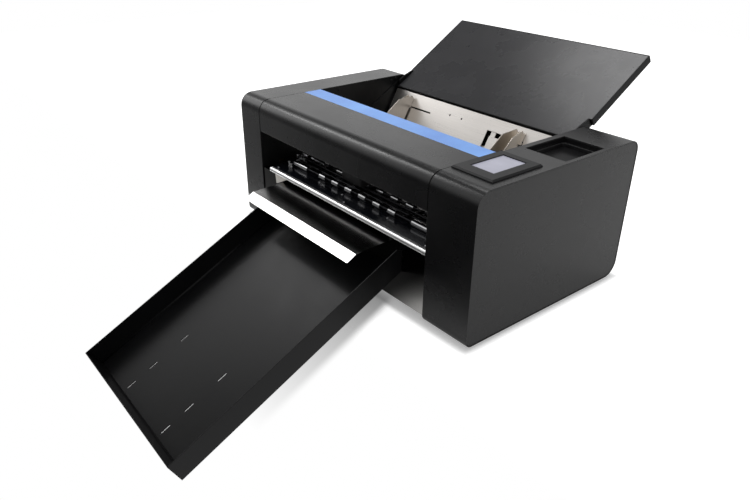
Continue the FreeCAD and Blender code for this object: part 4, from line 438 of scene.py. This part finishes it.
def coil(foot, height, radius, turns, steps=14):
    """Points of an upright coil spring, in millimetres."""
    count = int(turns * steps)
    return [(foot[0] + radius * math.cos(2 * math.pi * k / steps),
             foot[1] + radius * math.sin(2 * math.pi * k / steps),
             foot[2] + height * k / count) for k in range(count + 1)]


def rounded(x, y, width, length, radius, steps=6):
    """Corners of a rounded rectangle from its lowest corner, in millimetres."""
    points = []
    for quarter, (cx, cy) in enumerate(((x + width - radius, y + length - radius),
                                        (x + radius, y + length - radius), (x + radius, y + radius),
                                        (x + width - radius, y + radius))):
        for k in range(steps + 1):
            turn = (quarter + k / steps) * math.pi / 2
            points.append((cx + radius * math.cos(turn), cy + radius * math.sin(turn)))
    return points


def walled(bm, outer, inner, low, high):
    """An upright ring between two outlines with the same number of corners."""
    loops = [[bm.verts.new(Vector((x, y, z)) * MM) for x, y in outline]
             for outline, z in ((outer, low), (outer, high), (inner, high), (inner, low))]
    for first, second in zip(loops, loops[1:] + loops[:1]):
        for k in range(len(outer)):
            n = (k + 1) % len(outer)
            bm.faces.new((first[k], first[n], second[n], second[k]))


def screw_head(bm, place, normal, radius, height):
    """A domed head with a six-sided socket, in metres."""
    turn = Vector((0, 0, 1)).rotation_difference(Vector(normal).normalized())
    rings = [(1.0, 0.0), (1.0, 0.45), (0.9, 0.8), (0.7, 1.0)]
    sides = 18
    levels = []
    for share, rise in rings:
        levels.append([bm.verts.new(Vector(place) + turn @ Vector((
            radius * share * math.cos(2 * math.pi * k / sides),
            radius * share * math.sin(2 * math.pi * k / sides), height * rise)))
            for k in range(sides)])
    for low, high in zip(levels, levels[1:]):
        for k in range(sides):
            n = (k + 1) % sides
            bm.faces.new((low[k], low[n], high[n], high[k]))
    socket = [[bm.verts.new(Vector(place) + turn @ Vector((
        radius * 0.42 * math.cos(2 * math.pi * (k // 3) / 6),
        radius * 0.42 * math.sin(2 * math.pi * (k // 3) / 6), height * rise)))
        for k in range(0, sides)] for rise in (1.0, 0.35)]
    for low, high in ((levels[-1], socket[0]), (socket[0], socket[1])):
        for k in range(sides):
            n = (k + 1) % sides
            bm.faces.new((low[k], low[n], high[n], high[k]))
    bm.faces.new(socket[1])
    bm.faces.new(reversed(levels[0]))


def screws(name, places, body, finish="ground", radius=None):
    """Several screw heads as one piece; places lists (x, y from front, z, normal)."""
    s = bpy.context.scene.cutter_fittings
    bm = bmesh.new()
    for x, y, z, normal in places:
        screw_head(bm, Vector((x, part_y(y), z)) * MM, normal, radius or s.screw_radius,
                   s.screw_height)
    bmesh.ops.remove_doubles(bm, verts=bm.verts, dist=1e-6)
    return mesh_object(name, bm, finish, body)


# ---------------------------------------------------------------- operators
class CUTTER_OT_finishes(bpy.types.Operator):
    """Give every solid of the machine its finish"""
    bl_idname = "cutter.finishes"
    bl_label = "Finish the Solids"

    def execute(self, context):
        FINISHES.update(make_finishes())
        listed = [node for nodes in NODE_FINISH.values() for node in nodes]
        missing = set(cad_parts) - set(listed)
        if missing:
            raise RuntimeError(f"no finish for {sorted(missing)}")
        for finish, nodes in NODE_FINISH.items():
            for node in nodes:
                dress(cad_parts[node], finish)
        return {"FINISHED"}


class CUTTER_OT_screws(bpy.types.Operator):
    """Set the screws of the bay walls, the platen, the rear panel and the mains inlet"""
    bl_idname = "cutter.screws"
    bl_label = "Add Screws"

    def execute(self, context):
        wall_left, wall_right = (1, 0, 0), (-1, 0, 0)
        screws("bay_screws", [
            (-266.8, 352, 257, wall_left), (-266.8, 365, 261, wall_left),
            (-266.8, 202, 258, wall_left), (-266.8, 30, 170, wall_left),
            (237.8, 352, 257, wall_right), (237.8, 202, 258, wall_right)], "body",
            "coat_inner")
        screws("platen_screws", [
            (x, y, 134, (0, 0, 1)) for x, y in
            ((-102.5, 32), (-27.8, 32), (105.1, 32), (-223, 13), (2.8, 13), (225, 13))], "body",
            radius=0.0022)
        low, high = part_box("rear_panel")
        inset, depth = 9, (high.y - part_y(0) * MM) / MM
        left, right = low.x / MM + inset, high.x / MM - inset
        screws("rear_screws", [(x, depth, z, (0, 1, 0)) for z in (16, 120, 226)
                               for x in (left, (left + right) / 2, right)],
               "body", "blued")
        depth = (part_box("power_inlet")[1].y - part_y(0) * MM) / MM
        screws("inlet_screws", [(INLET[0] + reach, depth, INLET[1], (0, 1, 0))
                                for reach in (-20, 20)], "body", radius=0.0025)
        return {"FINISHED"}


class CUTTER_OT_seams(bpy.types.Operator):
    """Lay near-black T strips in the seams between hood and pods, headed on the bend and the front,
    as painted shade for the dark gaps
    """
    bl_idname = "cutter.seams"
    bl_label = "Add Seam Shade Strips"

    def execute(self, context):
        low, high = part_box("front_hood")
        front, rear, bottom, top = low.y / MM, high.y / MM, low.z / MM, high.z / MM
        bend, sunk, deep = 26.0, 0.35, 2.2
        proud, lap = 0.15, 0.6

        def profile(inset):
            """Rear end of the top, round the bend and down the front, inset from the surface."""
            arc = [(front + bend - (bend - inset) * math.sin(turn),
                    top - bend + (bend - inset) * math.cos(turn))
                   for turn in (math.pi / 2 * k / 16 for k in range(17))]
            return [(rear, top - inset), *arc, (front + inset, bottom)]

        bm = bmesh.new()
        outline = profile(sunk) + profile(deep)[::-1]
        head = profile(-proud)[1:] + profile(0.03)[:0:-1]
        for start, end in ((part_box("left_pod_wrap")[1].x, low.x),
                           (high.x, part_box("right_pod_wrap")[0].x)):
            extrude_outline(bm, [(start / MM + 0.05, y, z) for y, z in outline],
                            ((end - start) / MM - 0.1, 0, 0))
            extrude_outline(bm, [(start / MM - lap, y, z) for y, z in head],
                            ((end - start) / MM + 2 * lap, 0, 0))
        mesh_object("seam_shade_strips", bm, "seam_shade_finish", "body")
        return {"FINISHED"}


class CUTTER_OT_nose(bpy.types.Operator):
    """Roll the platen's nose bar with its two fine grooves, and hang its pale end gusset"""
    bl_idname = "cutter.nose"
    bl_label = "Add Nose Bar"

    def execute(self, context):
        low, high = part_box("platen_nose")
        left, right = low.x / MM, high.x / MM
        front, top, bottom = low.y / MM, high.z / MM, low.z / MM
        radius = 5.5
        roll = [(radius - radius * math.sin(turn), -radius + radius * math.cos(turn))
                for turn in (math.pi / 2 * k / 10 for k in range(11))]
        outline = [(8, 0), *roll, (0, -6.1), (1.3, -6.4), (1.3, -7.2), (0.2, -7.5), (0.2, -8.2),
                   (0.6, -8.6), (8, -8.6)]
        bm = bmesh.new()
        extrude_outline(bm, [(left, front + y, top + z) for y, z in outline], (right - left, 0, 0))
        bar = mesh_object("nose_bar", bm, "satin", "body")
        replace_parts(bevelled(bar, 0.0002), "platen_nose")
        bm = bmesh.new()
        extrude_outline(bm, [(x, front + 0.5, bottom - drop) for x, drop in
                             ((-217.4, 0.1), (-215.6, 13), (-215, 19.4), (-212, 19.2),
                              (-175.5, 1.2), (-175.5, 0.1))], (0, 1.2, 0))
        bevelled(mesh_object("nose_gusset", bm, "pale", "body"), 0.0004)
        return {"FINISHED"}


class CUTTER_OT_pinch(bpy.types.Operator):
    """Fit coil springs, adjusters with cap nuts, and posts beside the pinch brackets"""
    bl_idname = "cutter.pinch"
    bl_label = "Add Pinch Springs"

    def execute(self, context):
        low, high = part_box("pinch_brackets")
        ends = ((low.x / MM + 4, 1), (high.x / MM - 4, -1))
        for row, y in (("front", part_y(61)), ("rear", part_y(76))):
            bm = bmesh.new()
            for x, _ in ends:
                tube(bm, coil((x, y, 136.2), 8.5, 2.1, 6), 0.42)
            mesh_object(f"{row}_pinch_springs", bm, "chrome", "body", smooth=True)
            bm = bmesh.new()
            for x, inward in ends:
                lathe(bm, [(1.0, 0), (1.0, 15.5), (2.6, 15.6), (2.9, 16.2), (2.9, 18.2),
                           (2.2, 19.2), (0.9, 19.6)], (x, y, 134.1), sides=18)
                lathe(bm, [(2.6, 0), (2.9, 0.4), (2.9, 2.2), (2.4, 2.8), (1.0, 3.0)],
                      (x + inward * 5.6, y, 141.1), (inward, 0, 0), 18)
            mesh_object(f"{row}_pinch_adjusters", bm, "chrome", "body")
        for row, y, reach in (("front", part_y(35.8), 9), ("middle", part_y(68.5), 15)):
            bm = bmesh.new()
            for x, inward in ((low.x / MM + reach, 1), (high.x / MM - reach, -1)):
                for shift, rise in ((0, 11.5), (inward * 7.5, 8.0)):
                    lathe(bm, [(2.4, 0), (2.4, 1.4), (1.3, 1.8), (1.3, rise - 3.4), (2.2, rise - 3),
                               (2.6, rise - 2.2), (2.6, rise - 0.8), (1.6, rise)],
                          (x + shift, y, 134.05), sides=18)
                lathe(bm, [(0.9, 0), (0.9, 9.5), (1.5, 9.8), (1.5, 11.2), (0.8, 11.6)],
                      (x - inward * 2, y, 140.5), (inward, 0, 0), 14)
            mesh_object(f"{row}_pinch_posts", bm, "satin", "body")
        return {"FINISHED"}


class CUTTER_OT_tray(bpy.types.Operator):
    """Close the tray's tip with a leaning wall, and round the bends at the feet of its walls"""
    bl_idname = "cutter.tray"
    bl_label = "Add Tray End"

    def execute(self, context):
        low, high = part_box("output_tray")
        left, right = low.x / MM, high.x / MM
        sheet, wall, lean, bend = 1.5, 41.5, 4.0, 2.5
        tip = Vector((0, low.y / MM + wall * math.sin(TRAY_SLOPE), low.z / MM))
        along = Vector((0, math.cos(TRAY_SLOPE), math.sin(TRAY_SLOPE)))
        up = Vector((0, -math.sin(TRAY_SLOPE), math.cos(TRAY_SLOPE)))

        def spot(x, back, rise):
            """A place at a distance from the tip along the floor, above the floor's underside."""
            return tip + Vector((x, 0, 0)) + along * back + up * rise

        arc = [(bend * (1 - math.sin(turn)), bend * (1 - math.cos(turn)))
               for turn in (math.pi / 2 * k / 6 for k in range(7))]
        bm = bmesh.new()
        extrude_outline(bm, [spot(left + sheet, back, rise) for back, rise in (
            (0, wall), (lean, sheet), *((lean + sheet + back, sheet + rise) for back, rise in arc),
            (sheet, wall))], (right - left - 2 * sheet, 0, 0))
        mesh_object("tray_end_wall", bm, "coat_tray", "tray")
        bm = bmesh.new()
        for side, inward in ((left + sheet, 1), (right - sheet, -1)):
            extrude_outline(bm, [spot(side + inward * across, lean + sheet, sheet + rise)
                                 for across, rise in ((0, 0), *arc)], along * 455)
        mesh_object("tray_bends", bm, "coat_tray", "tray", smooth=True)
        return {"FINISHED"}


class CUTTER_OT_recess(bpy.types.Operator):
    """Line the storage recess with a stepped insert and a soft mat"""
    bl_idname = "cutter.recess"
    bl_label = "Line the Recess"

    def execute(self, context):
        low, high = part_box("storage_tray")
        rim = 3.5
        x, y = low.x / MM + rim + 0.2, low.y / MM + rim + 0.2
        width, length = (high.x - low.x) / MM - 2 * rim - 0.4, (high.y - low.y) / MM - 2 * rim - 0.4
        floor = low.z / MM + 1.5
        bm = bmesh.new()
        walled(bm, rounded(x, y, width, length, 1.5),
               rounded(x + 4, y + 4, width - 8, length - 8, 7), floor + 0.05, floor + 8)
        bevelled(mesh_object("recess_insert", bm, "plastic", "body"), 0.0008, 3)
        bm = bmesh.new()
        outline = rounded(x + 4.4, y + 4.4, width - 8.8, length - 8.8, 6.6)
        extrude_outline(bm, [(u, v, floor + 0.05) for u, v in outline], (0, 0, 1.6))
        bevelled(mesh_object("recess_mat", bm, "coat_tray", "body"), 0.0005)
        return {"FINISHED"}


class CUTTER_OT_fittings(bpy.types.Operator):
    """Add the hopper latch, the feet, the inlet's pins and the mark on the switch"""
    bl_idname = "cutter.fittings"
    bl_label = "Add Small Fittings"

    def execute(self, context):
        front, rear, bottom, top = part_y(166), part_y(204), 242, 250
        bm = bmesh.new()
        extrude_outline(bm, [(237.5, front, bottom), (237.5, rear, bottom), (237.5, rear - 2, top),
                             (237.5, front + 2, top)], (-7, 0, 0))
        bevelled(mesh_object("hopper_latch", bm, "plastic", "body"), 0.001)
        bm = bmesh.new()
        low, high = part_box("rubber_feet")
        for x in (low.x / MM + 12, high.x / MM - 12):
            for y in (low.y / MM + 12, high.y / MM - 12):
                lathe(bm, [(11.9, 0), (11.9, -1.2), (11.2, -2.2), (10.9, -4.6), (10.2, -5.8),
                           (7.5, -6), (6.8, -5.2), (3.4, -5.0)], (x, y, 0), sides=36)
        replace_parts(mesh_object("moulded_feet", bm, "rubber", "body"),
                    "rubber_feet")
        bm = bmesh.new()
        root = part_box("power_inlet")[1].y / MM - 17.5
        for across, rise in ((-7, -3.4), (0, 2.2), (7, -3.4)):
            x, z = INLET[0] + across, INLET[1] + rise
            extrude_outline(bm, [(x - 1, root, z - 2), (x + 1, root, z - 2), (x + 1, root, z + 2),
                                 (x - 1, root, z + 2)], (0, 13, 0))
        bevelled(mesh_object("inlet_pins", bm, "chrome", "body"), 0.0004)
        low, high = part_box("power_switch")
        middle, rear = (low.x + high.x) / 2 / MM, high.y / MM
        bm = bmesh.new()
        extrude_outline(bm, [(middle + x, rear - 1.6, high.z / MM + z) for x, z in
                             ((-0.3, -6.4), (0.3, -6.4), (0.3, -3.6), (-0.3, -3.6))], (0, 1.5, 0))
        mesh_object("switch_mark", bm, "white", "switch")
        return {"FINISHED"}


class CUTTER_OT_stage(bpy.types.Operator):
    """Set the bench, the lamps, the surroundings and the camera"""
    bl_idname = "cutter.stage"
    bl_label = "Set the Stage"

    def execute(self, context):
        s = context.scene.cutter_stage
        bm = bmesh.new()
        bmesh.ops.create_grid(bm, x_segments=8, y_segments=8, size=0.5)
        for vert in bm.verts:
            vert.co.x = vert.co.x * 6.0
            vert.co.y = -0.34 + (vert.co.y + 0.5) * 3.2
            vert.co.z = -0.0061
        mesh = bpy.data.meshes.new("bench")
        bm.to_mesh(mesh)
        bm.free()
        bench = bpy.data.objects.new("bench", mesh)
        context.scene.collection.objects.link(bench)
        mesh.materials.append(bench_material())
        self.painted_tray_shadow(context)
        self.lamp(context, "side_softbox", (-2.1, -0.75, 1.5), (0, -0.1, 0.2), (1.1, 1.8),
                  s.side_power)
        self.lamp(context, "strip_softbox", (-1.85, -0.57, 2.0), (0, -0.18, 0.26), (0.24, 1.0),
                  s.strip_power)
        self.lamp(context, "top_softbox", (-0.64, 0.71, 2.06), (0.2, 0.25, 0.4), (0.8, 0.8),
                  s.top_power)
        self.lamp(context, "ceiling_lamp", (0.2, -0.1, 2.4), (0, 0, 0.2), (1.8, 1.8),
                  s.room_power)
        surroundings(context)
        camera = bpy.data.objects.new("camera", bpy.data.cameras.new("camera"))
        context.scene.collection.objects.link(camera)
        camera.location = (0.9319, -0.8736, 0.6388)
        yaw, pitch, roll = 0.885, -0.482, 0.013
        camera.matrix_world = (Matrix.Translation(camera.location)
                               @ Matrix.Rotation(yaw, 4, "Z")
                               @ Matrix.Rotation(math.pi / 2 + pitch, 4, "X")
                               @ Matrix.Rotation(roll, 4, "Z"))
        camera.data.sensor_width = 36
        camera.data.lens = s.lens
        camera.data.clip_end = 50
        context.scene.camera = camera
        context.scene.view_settings.view_transform = "Standard"
        return {"FINISHED"}

    @staticmethod
    def painted_tray_shadow(context):
        """Clear sheet below the tray, parallel to its floor, that carries a painted shadow at the
        tray's right.
        """
        low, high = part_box("output_tray")
        rear, width, drop, lip = part_y(-3) * MM, 0.08, 0.013, 0.0185
        bm = bmesh.new()
        bmesh.ops.create_grid(bm, x_segments=4, y_segments=8, size=0.5)
        for vert in bm.verts:
            vert.co.x = high.x + vert.co.x * width
            vert.co.y = (low.y + rear) / 2 + vert.co.y * (rear - low.y)
            vert.co.z = low.z - drop + (vert.co.y - low.y - lip) * math.tan(TRAY_SLOPE)
        mesh = bpy.data.meshes.new("painted_tray_shadow")
        bm.to_mesh(mesh)
        bm.free()
        sheet = bpy.data.objects.new("painted_tray_shadow", mesh)
        context.scene.collection.objects.link(sheet)
        mesh.materials.append(painted_shadow_material(high.x))

    @staticmethod
    def lamp(context, name, place, aim, size, power):
        """A rectangular softbox at a place, turned to a point, in metres and watts."""
        data = bpy.data.lights.new(name, "AREA")
        data.shape = "RECTANGLE"
        data.size, data.size_y = size
        data.energy = power
        lamp = bpy.data.objects.new(name, data)
        lamp.location = place
        lamp.rotation_euler = (Vector(aim) - Vector(place)).to_track_quat("-Z", "Y").to_euler()
        context.scene.collection.objects.link(lamp)


def seen_directly(nodes, links):
    """One for the rays of the camera, of reflections and of clear glass, and else nought."""
    path = nodes.new("ShaderNodeLightPath")
    seen = path.outputs["Is Camera Ray"]
    for other in ("Is Glossy Ray", "Is Transmission Ray"):
        either = nodes.new("ShaderNodeMath")
        either.operation = "MAXIMUM"
        links.new(seen, either.inputs[0])
        links.new(path.outputs[other], either.inputs[1])
        seen = either.outputs[0]
    return path, seen


def blended(nodes, links, chosen, first, second):
    """The first value, or the second where chosen is one; a value is a number or a socket."""
    mix = nodes.new("ShaderNodeMix")
    links.new(chosen, mix.inputs["Factor"])
    for socket, value in ((mix.inputs["A"], first), (mix.inputs["B"], second)):
        if isinstance(value, float):
            socket.default_value = value
        else:
            links.new(value, socket)
    return mix.outputs["Result"]


def product(nodes, links, value, *others):
    """Several values multiplied together."""
    for other in others:
        node = nodes.new("ShaderNodeMath")
        node.operation = "MULTIPLY"
        links.new(value, node.inputs[0])
        links.new(other, node.inputs[1])
        value = node.outputs[0]
    return value


def painted_shadow_material(side):
    """A painted shadow, seen only by the camera, that is deepest beside the body and thins out
    along the tray and away from it.
    """
    material, nodes, links, shader, place = new_material("painted_tray_shadow")
    shader.inputs["Base Color"].default_value = (0, 0, 0, 1)
    shader.inputs["Roughness"].default_value = 1.0
    shader.inputs["Specular IOR Level"].default_value = 0.0
    separate = nodes.new("ShaderNodeSeparateXYZ")
    links.new(place.outputs["Object"], separate.inputs["Vector"])
    shares = []
    for axis, start, end, first, last in (("X", side + 0.008, side + 0.031, 1.0, 0.0),
                                          ("Y", -0.51, -0.242, 0.0, 0.72),
                                          ("Y", -0.252, -0.226, 1.0, 0.0)):
        fade = nodes.new("ShaderNodeMapRange")
        fade.interpolation_type = "SMOOTHSTEP" if axis == "X" else "LINEAR"
        fade.inputs["From Min"].default_value = start
        fade.inputs["From Max"].default_value = end
        fade.inputs["To Min"].default_value = first
        fade.inputs["To Max"].default_value = last
        links.new(separate.outputs[axis], fade.inputs["Value"])
        shares.append(fade.outputs["Result"])
    path = nodes.new("ShaderNodeLightPath")
    links.new(product(nodes, links, path.outputs["Is Camera Ray"], *shares),
              shader.inputs["Alpha"])
    return material


def bench_material():
    """White bench that fades out in front and keeps the machine's shadow; its glow is also lowered
    near the machine's footprint, a painted shadow band.
    """
    material, nodes, links, shader, place = new_material("bench_white")
    shader.inputs["Base Color"].default_value = (0.82, 0.82, 0.82, 1)
    shader.inputs["Roughness"].default_value = 0.8
    shader.inputs["Specular IOR Level"].default_value = 0.0
    shader.inputs["Emission Color"].default_value = (1, 1, 1, 1)
    low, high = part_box("left_pod_wrap")[0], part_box("right_pod_wrap")[1]
    vector = place.outputs["Object"]
    for operation, other in (("SUBTRACT", (low + high) / 2), ("ABSOLUTE", None),
                             ("SUBTRACT", (high - low) / 2)):
        step = nodes.new("ShaderNodeVectorMath")
        step.operation = operation
        links.new(vector, step.inputs[0])
        if other:
            step.inputs[1].default_value = other
        vector = step.outputs["Vector"]
    beyond = nodes.new("ShaderNodeSeparateXYZ")
    links.new(vector, beyond.inputs["Vector"])
    away = nodes.new("ShaderNodeMath")
    away.operation = "MAXIMUM"
    links.new(beyond.outputs["X"], away.inputs[0])
    links.new(beyond.outputs["Y"], away.inputs[1])
    # painted shadow: the bench's glow is lowest at the machine's footprint and rises to full 11.5
    # mm beyond it
    rise = nodes.new("ShaderNodeMapRange")
    rise.inputs["From Max"].default_value = 0.0115
    rise.inputs["To Min"].default_value = 0.33
    rise.inputs["To Max"].default_value = 0.86
    links.new(away.outputs[0], rise.inputs["Value"])
    path, seen = seen_directly(nodes, links)
    share = blended(nodes, links, path.outputs["Is Camera Ray"], 0.2, 1.0)
    links.new(product(nodes, links, rise.outputs["Result"], seen, share),
              shader.inputs["Emission Strength"])
    separate = nodes.new("ShaderNodeSeparateXYZ")
    links.new(place.outputs["Object"], separate.inputs["Vector"])
    edge = nodes.new("ShaderNodeMapRange")
    edge.inputs["From Min"].default_value = -0.32
    edge.inputs["From Max"].default_value = -0.24
    links.new(separate.outputs["Y"], edge.inputs["Value"])
    links.new(edge.outputs["Result"], shader.inputs["Alpha"])
    return material


def levels_along(nodes, links, part, stops):
    """Grey levels along one part of a ray's direction, from (part, level) pairs."""
    along = nodes.new("ShaderNodeMapRange")
    along.inputs["From Min"].default_value = -1.0
    links.new(part, along.inputs["Value"])
    node = nodes.new("ShaderNodeValToRGB")
    marks = node.color_ramp.elements
    marks.remove(marks[1])
    for k, (place, level) in enumerate(stops):
        mark = marks.new((place + 1) / 2) if k else marks[0]
        mark.position = (place + 1) / 2
        mark.color = (level, level, level, 1)
    links.new(along.outputs["Result"], node.inputs["Fac"])
    return node.outputs["Color"]


def surroundings(context):
    """White to the camera; reflections see a white room that is dark low in front."""
    world = bpy.data.worlds.new("studio")
    world.use_nodes = True
    nodes, links = world.node_tree.nodes, world.node_tree.links
    back = nodes["Background"]
    back.inputs["Color"].default_value = (1, 1, 1, 1)
    place = nodes.new("ShaderNodeTexCoord")
    separate = nodes.new("ShaderNodeSeparateXYZ")
    links.new(place.outputs["Generated"], separate.inputs["Vector"])
    depth, height = separate.outputs["Y"], separate.outputs["Z"]
    in_front = levels_along(nodes, links, depth, ((-0.6, 1.0), (-0.42, 0.72), (-0.12, 0.0)))
    front = levels_along(nodes, links, height, ((0.05, 0.04), (0.3, 0.55), (0.5, 0.8), (0.8, 0.6)))
    wall = levels_along(nodes, links, depth, ((0.67, 1.0), (0.7, 0.6), (0.76, 0.9), (0.85, 0.9),
                                              (1.0, 0.6)))
    above = levels_along(nodes, links, height, ((0.38, 0.0), (0.5, 1.0)))
    rear = blended(nodes, links, above, wall, 0.22)
    mirrored = blended(nodes, links, in_front, rear, front)
    path, seen = seen_directly(nodes, links)
    direct = blended(nodes, links, path.outputs["Is Glossy Ray"], 1.0, mirrored)
    level = blended(nodes, links, seen, context.scene.cutter_stage.daylight, direct)
    links.new(level, back.inputs["Strength"])
    context.scene.world = world


class CUTTER_PT_panel(bpy.types.Panel):
    """Buttons for each group of pieces"""
    bl_idname = "CUTTER_PT_panel"
    bl_label = "Card Cutter"
    bl_space_type = "VIEW_3D"
    bl_region_type = "UI"
    bl_category = "Cutter"

    def draw(self, context):
        for group in (context.scene.cutter_finish, context.scene.cutter_fittings,
                      context.scene.cutter_stage):
            box = self.layout.box()
            for name in group.__annotations__:
                box.prop(group, name)
        for step in STEPS:
            self.layout.operator(step.bl_idname)


STEPS = (CUTTER_OT_finishes, CUTTER_OT_screws, CUTTER_OT_seams, CUTTER_OT_nose, CUTTER_OT_pinch,
         CUTTER_OT_tray, CUTTER_OT_recess, CUTTER_OT_fittings, CUTTER_OT_stage)
CLASSES = (FinishSettings, FittingSettings, StageSettings, *STEPS, CUTTER_PT_panel)


def register():
    for cls in CLASSES:
        bpy.utils.register_class(cls)
    bpy.types.Scene.cutter_finish = bpy.props.PointerProperty(type=FinishSettings)
    bpy.types.Scene.cutter_fittings = bpy.props.PointerProperty(type=FittingSettings)
    bpy.types.Scene.cutter_stage = bpy.props.PointerProperty(type=StageSettings)


def unregister():
    del bpy.types.Scene.cutter_stage
    del bpy.types.Scene.cutter_fittings
    del bpy.types.Scene.cutter_finish
    for cls in reversed(CLASSES):
        bpy.utils.unregister_class(cls)


def main():
    """Finish the solids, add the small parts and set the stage."""
    register()
    bpy.ops.cutter.finishes()
    bpy.ops.cutter.screws()
    bpy.ops.cutter.seams()
    bpy.ops.cutter.nose()
    bpy.ops.cutter.pinch()
    bpy.ops.cutter.tray()
    bpy.ops.cutter.recess()
    bpy.ops.cutter.fittings()
    bpy.ops.cutter.stage()


if __name__ == "__main__":
    main()
